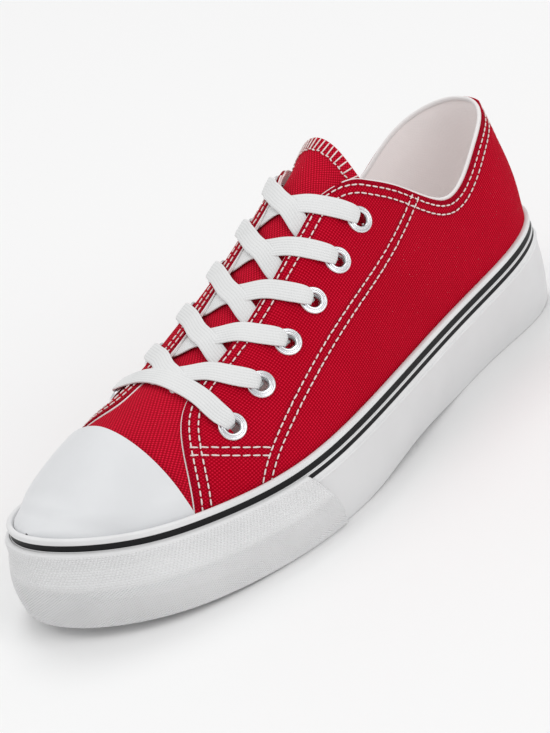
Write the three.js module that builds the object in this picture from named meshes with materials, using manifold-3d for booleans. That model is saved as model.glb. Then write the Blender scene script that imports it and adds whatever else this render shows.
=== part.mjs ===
// A low canvas sneaker on a platform sole, left shoe, in millimetres with +Z up.
// The toe points to -Y, the heel to +Y, and the outer side of the foot is +X.
import * as THREE from 'three';
import { mergeVertices } from 'three/addons/utils/BufferGeometryUtils.js';
import Module from 'manifold-3d';

const wasm = await Module();
wasm.setup();

// ---- Driving dimensions ----

const LENGTH = 272; // the sole at its rim
const FOXING_HEIGHT = 10.5; // from the rim down to the sidewall's shoulder
const SEAT_DEPTH = 7; // the foot's seat lies this far below the rim
const UPPER_INSET = 2.2; // from the rim's outline in to the canvas
const WALL = 2; // canvas and lining together
const GAP = 0.3; // between pieces that touch
const FAR = 200; // beyond the shoe on every side, for cutting forms
const SHOULDER = 0.5; // how far the foxing leans out at its foot

const TOE_SPRING = { end: 0.3, rise: 5.5 };
const ARCH = { start: 0.38, end: 0.72, rise: 2.5 };
const HEEL_SPRING = { start: 0.9, rise: 1.5 };

const HEEL_FORM = { start: 0.55, lean: 8, bulge: 1.5 }; // the back of the last

const BUMPER = { thickness: 1.7, belowRim: 5.1, endAtTop: -50, endAtFloor: -40, slantFrom: 4, slantTo: 30 };
const TOE_CAP = { thickness: 1.5, end: 0.16, endAtFoot: 0.154, slantFrom: 30, slantTo: 60 };

const THROAT = { centre: 3, halfWidth: 12, start: 0.235, full: 0.275, end: 0.68 };
const COLLAR_FRONT = 0.625;

const EYELETS = { count: 6, top: 0.615, bottom: 0.265, fromThroatTop: 22, fromThroatBottom: 31 };
const EYELET = { hole: 2.75, barrel: 3.7, flange: 5.5, rise: 1.6, seat: 0.7 };

const TONGUE = { start: 0.2, end: 0.67, cornerDrop: 0.006, thickness: 2, rootHalf: 22, topHalf: 29 };
const INSOLE = { margin: 1.2, below: 1, above: 2.5 };
const LACE = { width: 8, thickness: 1.2, low: 1, crossing: 2, eyelet: 3, startAboveRow: 0.036, insideFacing: 4, middle: 0.45 };
const TREAD = { border: 8, depth: 2, groove: 3, pitch: 11, wave: 22, amplitude: 5 };
const SECTIONS = 28; // cross-sections from toe to heel in each curved body
const STEPS_OVER = 18; // steps over each cross-section of the last
const TREAD_ZONES = [{ start: 0.1, end: 0.4 }, { start: 0.72, end: 0.94 }];

// One row for each cross-section, "along" running from 0 at the toe to 1 at the heel.
// half: half width of the rim before the ends are rounded off. centre: sideways swing of the last.
// rim: height of the foxing's top edge. flare: how far the floor outline lies outside the rim's.
// belly: bulge of the sidewall between them. ridge: height of the last's crest. bend: how square
// the section is, 2 for an ellipse.
const STATIONS = [
  { along: 0.00, half: 65, centre: -9, rim: 42, flare: 2, belly: 2, ridge: 35, bend: 2.2 }, // toe
  { along: 0.08, half: 63, centre: -6, rim: 37, flare: 3, belly: 2, ridge: 52, bend: 1.9 }, // toe cap
  { along: 0.16, half: 57.5, centre: -2, rim: 34, flare: 3, belly: 1.5, ridge: 63, bend: 1.8 }, // cap edge
  { along: 0.30, half: 52, centre: 3, rim: 31.5, flare: 1.5, belly: 1, ridge: 71, bend: 2 }, // ball
  { along: 0.45, half: 46, centre: 5, rim: 33.5, flare: -1, belly: 1, ridge: 88, bend: 2 }, // waist
  { along: 0.60, half: 39.5, centre: 4.5, rim: 35, flare: -4, belly: 1, ridge: 108, bend: 2.1 }, // throat top
  { along: 0.80, half: 41, centre: 0, rim: 36, flare: -5.5, belly: 1, ridge: 131, bend: 2.4 }, // heel breast
  { along: 1.00, half: 58, centre: 0, rim: 41, flare: -1, belly: 1, ridge: 140, bend: 2.6 }, // heel
];

// The top line of the quarters seen from the side, from the facing's top to the heel.
const COLLAR = [
  { along: 0.625, height: 104 }, // facing top
  { along: 0.700, height: 91.5 }, // slope
  { along: 0.785, height: 73.5 }, // ankle
  { along: 0.880, height: 83 }, // rise
  { along: 0.980, height: 93 }, // heel
];

// ---- Curves through the tables ----

// A natural cubic spline through one named column of a table.
function column(table, name) {
  const x = table.map((row) => row.along);
  const y = table.map((row) => row[name]);
  const last = x.length - 1;
  const second = new Array(last + 1).fill(0);
  const work = new Array(last + 1).fill(0);
  for (let i = 1; i < last; i += 1) {
    const share = (x[i] - x[i - 1]) / (x[i + 1] - x[i - 1]);
    const pivot = share * second[i - 1] + 2;
    const slopeChange = (y[i + 1] - y[i]) / (x[i + 1] - x[i]) - (y[i] - y[i - 1]) / (x[i] - x[i - 1]);
    second[i] = (share - 1) / pivot;
    work[i] = (6 * slopeChange / (x[i + 1] - x[i - 1]) - share * work[i - 1]) / pivot;
  }
  for (let i = last - 1; i > 0; i -= 1) {
    second[i] = second[i] * second[i + 1] + work[i];
  }
  second[0] = 0;
  return (at) => {
    let i = 0;
    while (i < last - 1 && at > x[i + 1]) i += 1;
    const step = x[i + 1] - x[i];
    const a = (x[i + 1] - at) / step;
    const b = 1 - a;
    const curve = ((a ** 3 - a) * second[i] + (b ** 3 - b) * second[i + 1]) * step * step / 6;
    return a * y[i] + b * y[i + 1] + curve;
  };
}

const half = column(STATIONS, 'half');
const centre = column(STATIONS, 'centre');
const rim = column(STATIONS, 'rim');
const flare = column(STATIONS, 'flare');
const belly = column(STATIONS, 'belly');
const ridge = column(STATIONS, 'ridge');
const bend = column(STATIONS, 'bend');
const collarHeight = column(COLLAR, 'height');

const unit = (value) => THREE.MathUtils.clamp(value, 0, 1);
const lengthwise = (along) => (along - 0.5) * LENGTH;
const stationAt = (turn) => (1 - Math.cos(turn)) / 2;
const seat = (along) => rim(along) - SEAT_DEPTH;
const shoulder = (along) => rim(along) - FOXING_HEIGHT;

// Height of the tread above the floor: toe spring, arch and heel spring, flat between them.
function floorLine(along) {
  const toe = TOE_SPRING.rise * unit(1 - along / TOE_SPRING.end) ** 2;
  const arch = ARCH.rise * Math.sin(Math.PI * unit((along - ARCH.start) / (ARCH.end - ARCH.start))) ** 2;
  const heel = HEEL_SPRING.rise * unit((along - HEEL_SPRING.start) / (1 - HEEL_SPRING.start)) ** 2;
  return toe + arch + heel;
}

// ---- The sole's outline and side ----

// A point of the rim's outline. turn runs from 0 at the toe, along the outer side, to 2 pi.
function rimPoint(turn) {
  const along = stationAt(turn);
  return new THREE.Vector2(centre(along) + Math.sin(turn) * half(along), lengthwise(along));
}

function outlinePoint(turn, outward) {
  const tangent = rimPoint(turn + 1e-4).sub(rimPoint(turn - 1e-4)).normalize();
  return rimPoint(turn).add(new THREE.Vector2(tangent.y, -tangent.x).multiplyScalar(outward));
}

// The last's own foot edge, moved outward by "outward".
function footPoint(turn, outward) {
  const edge = lastPoint(stationAt(turn), turn <= Math.PI ? 0 : Math.PI, outward);
  return new THREE.Vector2(edge.x, edge.y);
}

// How far the sole's side stands outside the rim's outline at a given height.
function sideOffset(along, z) {
  const top = shoulder(along);
  if (z >= top) return SHOULDER * (rim(along) - z) / FOXING_HEIGHT;
  const down = (top - z) / (top - floorLine(along));
  return SHOULDER * (1 - down) + flare(along) * down + belly(along) * Math.sin(Math.PI * unit(down));
}

// ---- The last's form, which the upper and all that lies on it follow ----

// A point of the form moved outward by "outward". angle runs over the section from 0 at the
// outer foot edge, through pi / 2 at the crest, to pi at the inner foot edge.
function lastPoint(along, angle, outward = 0) {
  const inset = UPPER_INSET - outward;
  const power = 2 / bend(along);
  const height = Math.sin(angle) ** power;
  const across = Math.sign(Math.cos(angle)) * Math.abs(Math.cos(angle)) ** power;
  const closing = 2 * Math.sqrt(Math.max(along * (1 - along), 0));
  const crest = Math.max(ridge(along) - seat(along) + outward, 0);
  const rear = unit((along - HEEL_FORM.start) / (1 - HEEL_FORM.start)) ** 2;
  const back = HEEL_FORM.bulge * Math.sin(Math.PI * unit(height * 2)) - 2 * HEEL_FORM.lean * height ** 2;
  return new THREE.Vector3(
    centre(along) + closing * (half(along) - inset) * across,
    (along - 0.5) * (LENGTH - 2 * inset) + rear * back,
    seat(along) + crest * height,
  );
}

// The angle at which the form is "aside" millimetres from the last's centre line, outer side positive.
function angleAt(along, aside) {
  const width = 2 * Math.sqrt(along * (1 - along)) * (half(along) - UPPER_INSET);
  const angle = Math.acos(unit(Math.abs(aside) / width) ** (bend(along) / 2));
  return aside >= 0 ? angle : Math.PI - angle;
}

// A point lying "lift" off the canvas, with the surface's outward normal.
function onUpper(along, aside, lift) {
  const angle = angleAt(along, aside);
  const point = lastPoint(along, angle);
  const lengthways = lastPoint(along + 1e-3, angle).sub(lastPoint(along - 1e-3, angle));
  const over = lastPoint(along, angle + 1e-3).sub(lastPoint(along, angle - 1e-3));
  const normal = lengthways.cross(over).normalize();
  return { point: point.addScaledVector(normal, lift), normal };
}

// ---- Mesh helpers ----

// A closed body through rings of equal count. Ring points that coincide are merged.
function loft(rings) {
  const count = rings[0].length;
  const vertices = rings.flat();
  const faces = [];
  const quad = (a, b, c, d) => faces.push(a, b, c, a, c, d);
  for (let r = 0; r + 1 < rings.length; r += 1) {
    for (let i = 0; i < count; i += 1) {
      const next = (i + 1) % count;
      quad(r * count + i, r * count + next, (r + 1) * count + next, (r + 1) * count + i);
    }
  }
  const top = (rings.length - 1) * count;
  for (let i = 0; i + 1 < count / 2; i += 1) {
    quad(count - 1 - i, count - 2 - i, i + 1, i);
    quad(top + i, top + i + 1, top + count - 2 - i, top + count - 1 - i);
  }
  return fromFaces(vertices, faces);
}

function fromFaces(vertices, faces) {
  const geometry = new THREE.BufferGeometry();
  geometry.setAttribute('position', new THREE.Float32BufferAttribute(vertices.flatMap((v) => v.toArray()), 3));
  geometry.setIndex(faces);
  return geometry;
}

// Merges a geometry's points, drops faces that have collapsed, and makes it a solid.
function solid(geometry) {
  const bare = geometry.clone();
  bare.deleteAttribute('normal');
  bare.deleteAttribute('uv');
  const merged = mergeVertices(bare, 1e-4);
  const index = Array.from(merged.index.array);
  const kept = [];
  for (let i = 0; i < index.length; i += 3) {
    const [a, b, c] = index.slice(i, i + 3);
    if (a !== b && b !== c && c !== a) kept.push(a, b, c);
  }
  const mesh = new wasm.Mesh({
    numProp: 3,
    vertProperties: Float32Array.from(merged.attributes.position.array),
    triVerts: Uint32Array.from(kept),
  });
  return new wasm.Manifold(mesh);
}

function toGeometry(manifold) {
  const mesh = manifold.getMesh();
  const geometry = new THREE.BufferGeometry();
  geometry.setAttribute('position', new THREE.BufferAttribute(mesh.vertProperties, 3));
  geometry.setIndex(new THREE.BufferAttribute(mesh.triVerts, 1));
  return geometry;
}

// A body between two heights, following an outline at the offset given for each height. It has
// the same cross-sections as the last's body, so that their facets run side by side.
function footprint(low, high, offset, levels = 1, outline = outlinePoint) {
  const rings = [];
  for (let level = 0; level <= levels; level += 1) {
    const ring = [];
    for (let i = 0; i <= 2 * SECTIONS; i += 1) {
      const turn = i * Math.PI / SECTIONS;
      const along = stationAt(turn);
      const z = THREE.MathUtils.lerp(low(along), high(along), level / levels);
      const point = outline(turn, offset(along, z));
      ring.push(new THREE.Vector3(point.x, point.y, z));
    }
    rings.push(ring);
  }
  return solid(loft(rings));
}

// The whole last moved outward by "outward", its foot carried down to a given height.
function lastBody(outward, foot) {
  const rings = [];
  for (let s = 0; s <= SECTIONS; s += 1) {
    const along = stationAt(s * Math.PI / SECTIONS);
    const ring = [];
    for (let i = 0; i <= STEPS_OVER; i += 1) ring.push(lastPoint(along, i * Math.PI / STEPS_OVER, outward));
    ring.push(ring[STEPS_OVER].clone().setZ(foot(along)));
    ring.unshift(ring[0].clone().setZ(foot(along)));
    rings.push(ring.reverse());
  }
  return solid(loft(rings));
}

// A sheet with the given upper and lower faces, both functions of u and v from 0 to 1.
function slab(upperFace, lowerFace, stepsU, stepsV) {
  const rings = [];
  for (let u = 0; u <= stepsU; u += 1) {
    const ring = [];
    for (let v = 0; v <= stepsV; v += 1) ring.push(upperFace(u / stepsU, v / stepsV));
    for (let v = stepsV; v >= 0; v -= 1) ring.push(lowerFace(u / stepsU, v / stepsV));
    rings.push(ring);
  }
  return solid(loft(rings));
}

// A flat outline extruded by "depth" and turned into place by a matrix.
function extruded(points, depth, matrix) {
  const geometry = new THREE.ExtrudeGeometry(new THREE.Shape(points), { depth, bevelEnabled: false });
  return solid(geometry.applyMatrix4(matrix));
}

const FROM_BELOW = new THREE.Matrix4().makeTranslation(0, 0, -50);
// Turns an outline drawn as (lengthwise, height) to stand across the shoe.
const ACROSS = new THREE.Matrix4().makeBasis(
  new THREE.Vector3(0, 1, 0),
  new THREE.Vector3(0, 0, 1),
  new THREE.Vector3(1, 0, 0),
).setPosition(-FAR / 2, 0, 0);

// ---- Sole ----

// A wavy bar across the sole at one place along it.
function treadGroove(y) {
  const steps = 10;
  const front = [];
  for (let i = 0; i <= steps; i += 1) {
    const side = i % 2 ? TREAD.amplitude / 2 : -TREAD.amplitude / 2;
    front.push(new THREE.Vector2((i - steps / 2) * TREAD.wave / 2, y + side));
  }
  const rear = front.map((point) => new THREE.Vector2(point.x, point.y + TREAD.groove)).reverse();
  return extruded([...front, ...rear], 100, FROM_BELOW);
}

function treadGrooves() {
  const bed = footprint(() => -5, (along) => floorLine(along) + TREAD.depth, () => -TREAD.border);
  const bars = [];
  for (const zone of TREAD_ZONES) {
    const end = lengthwise(zone.end);
    for (let y = lengthwise(zone.start); y < end; y += TREAD.pitch) bars.push(treadGroove(y));
  }
  return wasm.Manifold.union(bars).intersect(bed);
}

function outsole() {
  const body = footprint(floorLine, (along) => shoulder(along) - GAP, sideOffset, 4);
  const core = footprint(
    (along) => shoulder(along) - 2,
    (along) => seat(along) - INSOLE.below - GAP,
    () => 0,
    1,
    footPoint,
  );
  return body.add(core).subtract(treadGrooves());
}

function foxing() {
  const band = footprint(shoulder, rim, sideOffset, 2);
  const low = (along) => shoulder(along) - 2.5;
  const inside = footprint(low, (along) => rim(along) + 1, () => GAP, 1, footPoint);
  return band.subtract(inside);
}

function toeBumper() {
  const top = (along) => rim(along) - BUMPER.belowRim;
  const outer = footprint(floorLine, top, (along, z) => sideOffset(along, z) + GAP + BUMPER.thickness, 4);
  const inner = footprint(
    (along) => floorLine(along) - 5,
    (along) => rim(along) + 5,
    (along, z) => sideOffset(along, Math.max(z, floorLine(along))) + 2 * GAP,
    5,
  );
  const front = [
    new THREE.Vector2(-FAR, -FAR),
    new THREE.Vector2(BUMPER.endAtFloor, -FAR),
    new THREE.Vector2(BUMPER.endAtFloor, BUMPER.slantFrom),
    new THREE.Vector2(BUMPER.endAtTop, BUMPER.slantTo),
    new THREE.Vector2(-FAR, FAR),
  ];
  return outer.subtract(inner).intersect(extruded(front, FAR, ACROSS));
}

// ---- Upper ----

// Cuts away all above the quarters' top line, seen from the side.
function collarCutter() {
  const outline = [new THREE.Vector2(lengthwise(COLLAR_FRONT), FAR)];
  const steps = 18;
  const end = COLLAR[COLLAR.length - 1].along;
  for (let i = 0; i <= steps; i += 1) {
    const along = THREE.MathUtils.lerp(COLLAR_FRONT, end, i / steps);
    outline.push(new THREE.Vector2(lengthwise(along), collarHeight(along)));
  }
  outline.push(new THREE.Vector2(LENGTH * 0.6, collarHeight(end) + 8), new THREE.Vector2(LENGTH * 0.6, FAR));
  return extruded(outline.reverse(), FAR, ACROSS);
}

// Cuts the throat between the facings, seen from above, with a rounded front end.
function throatCutter() {
  const sides = [];
  const steps = 14;
  const bunching = 1.5; // closer steps at the round front end
  for (let i = 0; i <= steps; i += 1) {
    const along = THROAT.start + (THROAT.end - THROAT.start) * (i / steps) ** bunching;
    const round = Math.sqrt(1 - unit((THROAT.full - along) / (THROAT.full - THROAT.start)) ** 2);
    sides.push({ along, width: THROAT.halfWidth * round });
  }
  const point = ({ along, width }, side) => new THREE.Vector2(
    centre(along) + THROAT.centre + side * width,
    lengthwise(along),
  );
  const outer = sides.map((row) => point(row, 1));
  const inner = sides.slice(1).reverse().map((row) => point(row, -1));
  return extruded([...outer, ...inner], FAR, new THREE.Matrix4());
}

// Place and outward direction of one eyelet, number 1 at the throat's top.
function eyeletPlace(number, side) {
  const down = (number - 1) / (EYELETS.count - 1);
  const along = THREE.MathUtils.lerp(EYELETS.top, EYELETS.bottom, down);
  const out = THREE.MathUtils.lerp(EYELETS.fromThroatTop, EYELETS.fromThroatBottom, down);
  const aside = THROAT.centre + side * out;
  const { point, normal } = onUpper(along, aside, 0);
  const turn = new THREE.Quaternion().setFromUnitVectors(new THREE.Vector3(0, 0, 1), normal);
  return { along, aside, point, turn };
}

function eachEyelet(make) {
  const made = [];
  for (const [name, side] of [['lateral', 1], ['medial', -1]]) {
    for (let number = 1; number <= EYELETS.count; number += 1) {
      made.push(make(`eyelet_${name}_${number}`, eyeletPlace(number, side)));
    }
  }
  return made;
}

function eyeletHoles() {
  const drill = new THREE.CylinderGeometry(EYELET.barrel + GAP, EYELET.barrel + GAP, 12, 10).rotateX(Math.PI / 2);
  return wasm.Manifold.union(eachEyelet((name, place) => {
    const matrix = new THREE.Matrix4().compose(place.point, place.turn, new THREE.Vector3(1, 1, 1));
    return solid(drill.clone().applyMatrix4(matrix));
  }));
}

function upper() {
  const foot = (along) => seat(along) - INSOLE.below;
  return lastBody(0, foot)
    .subtract(lastBody(-WALL, (along) => seat(along) - 10))
    .subtract(collarCutter())
    .subtract(throatCutter())
    .subtract(eyeletHoles());
}

function toeCap() {
  const form = lastBody(GAP + TOE_CAP.thickness, (along) => seat(along) - 5);
  const belowRim = footprint(() => 0, (along) => rim(along) + GAP, () => 0);
  const slant = (TOE_CAP.end - TOE_CAP.endAtFoot) * LENGTH;
  const front = [
    new THREE.Vector2(-FAR, 0),
    new THREE.Vector2(lengthwise(TOE_CAP.endAtFoot), TOE_CAP.slantFrom),
    new THREE.Vector2(lengthwise(TOE_CAP.endAtFoot) + slant, TOE_CAP.slantTo),
    new THREE.Vector2(lengthwise(TOE_CAP.endAtFoot) + slant, FAR),
    new THREE.Vector2(-FAR, FAR),
  ];
  return form
    .subtract(lastBody(GAP, (along) => seat(along) - 10))
    .intersect(extruded(front, FAR, ACROSS))
    .subtract(belowRim);
}

function tongue() {
  const face = (depth) => (u, v) => {
    const across = 2 * v - 1;
    const along = THREE.MathUtils.lerp(TONGUE.start, TONGUE.end - TONGUE.cornerDrop * across ** 2, u);
    const width = THREE.MathUtils.lerp(TONGUE.rootHalf, TONGUE.topHalf, unit(u * 2));
    return lastPoint(along, angleAt(along, THROAT.centre + across * width), -depth);
  };
  const depth = WALL + GAP + 0.2;
  return slab(face(depth), face(depth + TONGUE.thickness), 14, 8);
}

function insole() {
  const board = footprint(
    (along) => seat(along) - INSOLE.below,
    (along) => seat(along) + INSOLE.above,
    () => -WALL - INSOLE.margin,
    1,
    footPoint,
  );
  return board.intersect(lastBody(-WALL - INSOLE.margin, (along) => seat(along) - 10));
}

// ---- Eyelets and lace ----

function eyelet() {
  const profile = [
    [EYELET.hole, -WALL + 0.1],
    [EYELET.barrel, -WALL + 0.1],
    [EYELET.barrel, EYELET.seat],
    [EYELET.flange, EYELET.seat],
    [(EYELET.flange + EYELET.barrel) / 2, EYELET.rise],
    [EYELET.hole, EYELET.seat],
    [EYELET.hole, -WALL + 0.1],
  ].map(([radius, z]) => new THREE.Vector2(radius, z));
  return new THREE.LatheGeometry(profile, 10).rotateX(Math.PI / 2);
}

// A flat strand laid over the facings. Each stop is { along, aside, lift }.
function strand(stops) {
  const steps = 8;
  const stopAt = (u) => {
    const place = u * (stops.length - 1);
    const i = Math.min(Math.floor(place), stops.length - 2);
    const mix = (key) => THREE.MathUtils.lerp(stops[i][key], stops[i + 1][key], place - i);
    return onUpper(mix('along'), mix('aside'), mix('lift'));
  };
  const face = (side) => (u, v) => {
    const { point, normal } = stopAt(u);
    const ahead = stopAt(Math.min(u + 0.02, 1)).point.sub(stopAt(Math.max(u - 0.02, 0)).point);
    const across = ahead.cross(normal).normalize();
    return point
      .addScaledVector(across, (v - 0.5) * LACE.width)
      .addScaledVector(normal, side * LACE.thickness / 2);
  };
  return slab(face(1), face(-1), steps, 1);
}

// The two strands that cross between one row of eyelets and the row below it.
function laceCrossing(number) {
  const upperRow = [eyeletPlace(number, 1), eyeletPlace(number, -1)];
  const start = eyeletPlace(number + 1, 1).along + LACE.startAboveRow;
  const inside = THROAT.halfWidth - LACE.insideFacing;
  const run = (side, crossingLift) => {
    const end = upperRow[side > 0 ? 0 : 1];
    const from = { along: start, aside: THROAT.centre - side * inside, lift: crossingLift };
    const middle = {
      along: THREE.MathUtils.lerp(start, end.along, LACE.middle),
      aside: THREE.MathUtils.lerp(from.aside, end.aside, LACE.middle),
      lift: crossingLift,
    };
    return strand([from, middle, { along: end.along, aside: end.aside, lift: LACE.eyelet }]);
  };
  return run(1, LACE.low).add(run(-1, LACE.crossing));
}

function laceBar() {
  const [outer, inner] = [eyeletPlace(EYELETS.count, 1), eyeletPlace(EYELETS.count, -1)];
  const stop = ({ along, aside }, lift) => ({ along, aside, lift });
  const middle = { along: outer.along, aside: THROAT.centre, lift: LACE.low };
  return strand([stop(outer, LACE.eyelet), middle, stop(inner, LACE.eyelet)]);
}

// ---- Assembly ----

const RUBBER = { color: '#e4e4e6', roughness: 0.55, metalness: 0 };
const CANVAS = { color: '#b3122c', roughness: 0.9, metalness: 0 };
const COTTON = { color: '#eeeceb', roughness: 0.85, metalness: 0 };
const STEEL = { color: '#c3c5c8', roughness: 0.25, metalness: 1 };

const shoe = new THREE.Group();

function add(name, geometry, finish) {
  const mesh = new THREE.Mesh(geometry, new THREE.MeshStandardMaterial(finish));
  mesh.name = name;
  shoe.add(mesh);
  return mesh;
}

add('outsole', toGeometry(outsole()), RUBBER);
add('foxing', toGeometry(foxing()), RUBBER);
add('toe_bumper', toGeometry(toeBumper()), RUBBER);
add('toe_cap', toGeometry(toeCap()), RUBBER);
add('upper', toGeometry(upper()), CANVAS);
add('tongue', toGeometry(tongue()), CANVAS);
add('insole', toGeometry(insole()), COTTON);
eachEyelet((name, place) => {
  const mesh = add(name, eyelet(), STEEL);
  mesh.position.copy(place.point);
  mesh.quaternion.copy(place.turn);
});
add('lace_bar_6', toGeometry(laceBar()), COTTON);
for (let number = EYELETS.count - 1; number >= 1; number -= 1) {
  add(`lace_cross_${number}`, toGeometry(laceCrossing(number)), COTTON);
}

// The origin is on the floor, under the middle of the shoe's length and width.
const middle = new THREE.Box3().setFromObject(shoe, true).getCenter(new THREE.Vector3());
shoe.position.set(-middle.x, -middle.y, 0);

export default shoe;
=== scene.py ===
"""A low canvas sneaker on a platform sole, left shoe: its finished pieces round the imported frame."""

import logging
import math
from dataclasses import dataclass, field
from enum import Enum
from typing import Callable, NamedTuple, Sequence

import bpy
import numpy as np
from mathutils import Matrix, Vector
from mathutils.kdtree import KDTree


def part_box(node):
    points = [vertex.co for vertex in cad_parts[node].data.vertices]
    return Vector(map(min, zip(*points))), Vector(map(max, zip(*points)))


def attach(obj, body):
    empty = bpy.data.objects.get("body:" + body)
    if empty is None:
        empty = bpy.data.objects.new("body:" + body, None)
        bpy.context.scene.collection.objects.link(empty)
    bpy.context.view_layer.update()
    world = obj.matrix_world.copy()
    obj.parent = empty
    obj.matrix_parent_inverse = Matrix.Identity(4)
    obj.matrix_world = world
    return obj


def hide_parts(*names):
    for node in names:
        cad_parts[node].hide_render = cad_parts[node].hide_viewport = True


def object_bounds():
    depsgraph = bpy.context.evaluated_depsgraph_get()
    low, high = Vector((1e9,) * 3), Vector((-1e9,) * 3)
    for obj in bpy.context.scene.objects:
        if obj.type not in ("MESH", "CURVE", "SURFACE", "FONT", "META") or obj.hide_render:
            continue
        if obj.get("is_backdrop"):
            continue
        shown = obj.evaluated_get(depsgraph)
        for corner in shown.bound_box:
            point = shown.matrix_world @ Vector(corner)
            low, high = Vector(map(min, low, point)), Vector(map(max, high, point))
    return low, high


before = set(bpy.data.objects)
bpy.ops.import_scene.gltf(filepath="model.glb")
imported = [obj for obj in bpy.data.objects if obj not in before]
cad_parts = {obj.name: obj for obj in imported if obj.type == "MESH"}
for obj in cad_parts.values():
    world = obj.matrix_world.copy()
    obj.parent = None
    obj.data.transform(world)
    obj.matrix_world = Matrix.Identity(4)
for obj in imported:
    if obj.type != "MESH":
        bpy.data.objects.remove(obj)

log = logging.getLogger("sneaker")
logging.basicConfig(level=logging.INFO, format="%(name)s: %(message)s")

Array = np.ndarray
Piece = bpy.types.Object

MM = 0.001
HOLE_DEPTH = 8.0  # how far above and below its seat a hole reaches
HEEL_SEAM = 0.9995  # place along the shoe, just short of the form's end
FOOT_GAP = 0.004  # share of a section left free at each foot edge
BODY = "root"


class Side(Enum):
    """The two sides of the shoe, with the sign of their direction along X."""

    LATERAL = 1
    MEDIAL = -1


# ---- The last, in millimetres -------------------------------------------------------------


class Station(NamedTuple):
    """One cross-section of the shoe. The part's own source names each column the same way."""

    along: float
    half: float
    centre: float
    rim: float
    flare: float
    belly: float
    ridge: float
    bend: float


@dataclass(frozen=True)
class FrontEdge:
    """A quarter's front edge: up from the foxing in one rounded sweep, then level along the facing.

    Heights over the section are shares of its half turn.
    """

    level_from: float
    height: float
    height_at_top: float
    foot: float = 0.145
    roundness: float = 3.5
    droop_from: float = 0.56
    end: float = 0.625

    def __call__(self, along: Array) -> Array:
        """The edge's height over the section at each place along the shoe.

        Args:
            along: Places along the shoe.

        Returns:
            Heights, as shares of the section.
        """
        sweep = 1 - (1 - unit((along - self.foot) / (self.level_from - self.foot))) ** self.roundness
        droop = unit((along - self.droop_from) / (self.end - self.droop_from)) ** 2
        return self.height * sweep - (self.height - self.height_at_top) * droop


class HeightStop(NamedTuple):
    """One point of a line seen from the side."""

    along: float
    height: float


STATIONS = (
    Station(0.00, 65, -9, 42, 2, 2, 35, 2.2),  # toe
    Station(0.08, 63, -6, 37, 3, 2, 52, 1.9),  # toe cap
    Station(0.16, 57.5, -2, 34, 3, 1.5, 63, 1.8),  # cap edge
    Station(0.30, 52, 3, 31.5, 1.5, 1, 71, 2),  # ball
    Station(0.45, 46, 5, 33.5, -1, 1, 88, 2),  # waist
    Station(0.60, 39.5, 4.5, 35, -4, 1, 108, 2.1),  # throat top
    Station(0.80, 41, 0, 36, -5.5, 1, 131, 2.4),  # heel breast
    Station(1.00, 58, 0, 41, -1, 1, 140, 2.6),  # heel
)

COLLAR = (
    HeightStop(0.625, 104),  # facing top
    HeightStop(0.700, 91.5),  # slope
    HeightStop(0.785, 73.5),  # ankle
    HeightStop(0.880, 83),  # rise
    HeightStop(0.980, 93),  # heel
)

QUARTER_EDGE = {
    Side.LATERAL: FrontEdge(level_from=0.34, height=0.385, height_at_top=0.375),
    Side.MEDIAL: FrontEdge(level_from=0.24, height=0.44, height_at_top=0.41),
}


class Column:
    """A natural cubic spline through one named column of a table."""

    def __init__(self, table: Sequence[NamedTuple], name: str) -> None:
        """Fits the spline.

        Args:
            table: Rows with an "along" field, in order.
            name: The column to fit.
        """
        self.x = np.array([row.along for row in table])
        self.y = np.array([getattr(row, name) for row in table])
        count = len(self.x)
        step = np.diff(self.x)
        slope = np.diff(self.y) / step
        system = np.eye(count)
        right = np.zeros(count)
        for i in range(1, count - 1):
            system[i, i - 1 : i + 2] = (step[i - 1], 2 * (step[i - 1] + step[i]), step[i])
            right[i] = 6 * (slope[i] - slope[i - 1])
        self.second = np.linalg.solve(system, right)

    def __call__(self, along: Array) -> Array:
        """The column's value at each place along the shoe.

        Args:
            along: Places along the shoe.

        Returns:
            One value for each place.
        """
        i = np.clip(np.searchsorted(self.x, along) - 1, 0, len(self.x) - 2)
        step = self.x[i + 1] - self.x[i]
        a = (self.x[i + 1] - along) / step
        b = 1 - a
        curve = (a**3 - a) * self.second[i] + (b**3 - b) * self.second[i + 1]
        return a * self.y[i] + b * self.y[i + 1] + curve * step * step / 6


def unit(value: Array) -> Array:
    """Holds each value between 0 and 1."""
    return np.clip(value, 0.0, 1.0)


def smooth(value: Array) -> Array:
    """A soft step from 0 to 1 over values from 0 to 1."""
    held = unit(value)
    return held * held * (3 - 2 * held)


def smooth_rows(rows: Array, reach: int = 7) -> Array:
    """Each row of an array averaged with its neighbours.

    Args:
        rows: The array.
        reach: Neighbours taken on each side.

    Returns:
        An array of the same shape.
    """
    padded = np.pad(rows, ((reach, reach), (0, 0)), mode="edge")
    kernel = np.ones(2 * reach + 1) / (2 * reach + 1)
    return np.stack([np.convolve(column, kernel, mode="valid") for column in padded.T], -1)


def normalised(vectors: Array) -> Array:
    """Each row of an array of vectors, at length 1."""
    return vectors / np.maximum(np.linalg.norm(vectors, axis=-1, keepdims=True), 1e-9)


def run_along(points: Array) -> Array:
    """Distance along a line at each of its points, from 0 at its start."""
    return np.concatenate([[0.0], np.cumsum(np.linalg.norm(np.diff(points, axis=0), axis=1))])


def tangents(points: Array) -> Array:
    """A line's direction at each of its points."""
    return normalised(np.gradient(points, axis=0))


def signed_power(value: Array, power: Array | float) -> Array:
    """A power of each value's size, with the value's own sign."""
    return np.sign(value) * np.abs(value) ** power


def circle(count: int) -> Array:
    """Points round a circle of radius 1."""
    angle = np.linspace(0, 2 * math.pi, count, endpoint=False)
    return np.stack([np.cos(angle), np.sin(angle)], -1)


# Both take a grid's u and v, each from 0 to 1. A Place gives points in millimetres or thread coordinates,
# a Spot gives places along the shoe and angles.
Place = Callable[[Array, Array], Array]
Spot = Callable[[Array, Array], tuple[Array, Array]]


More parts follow.
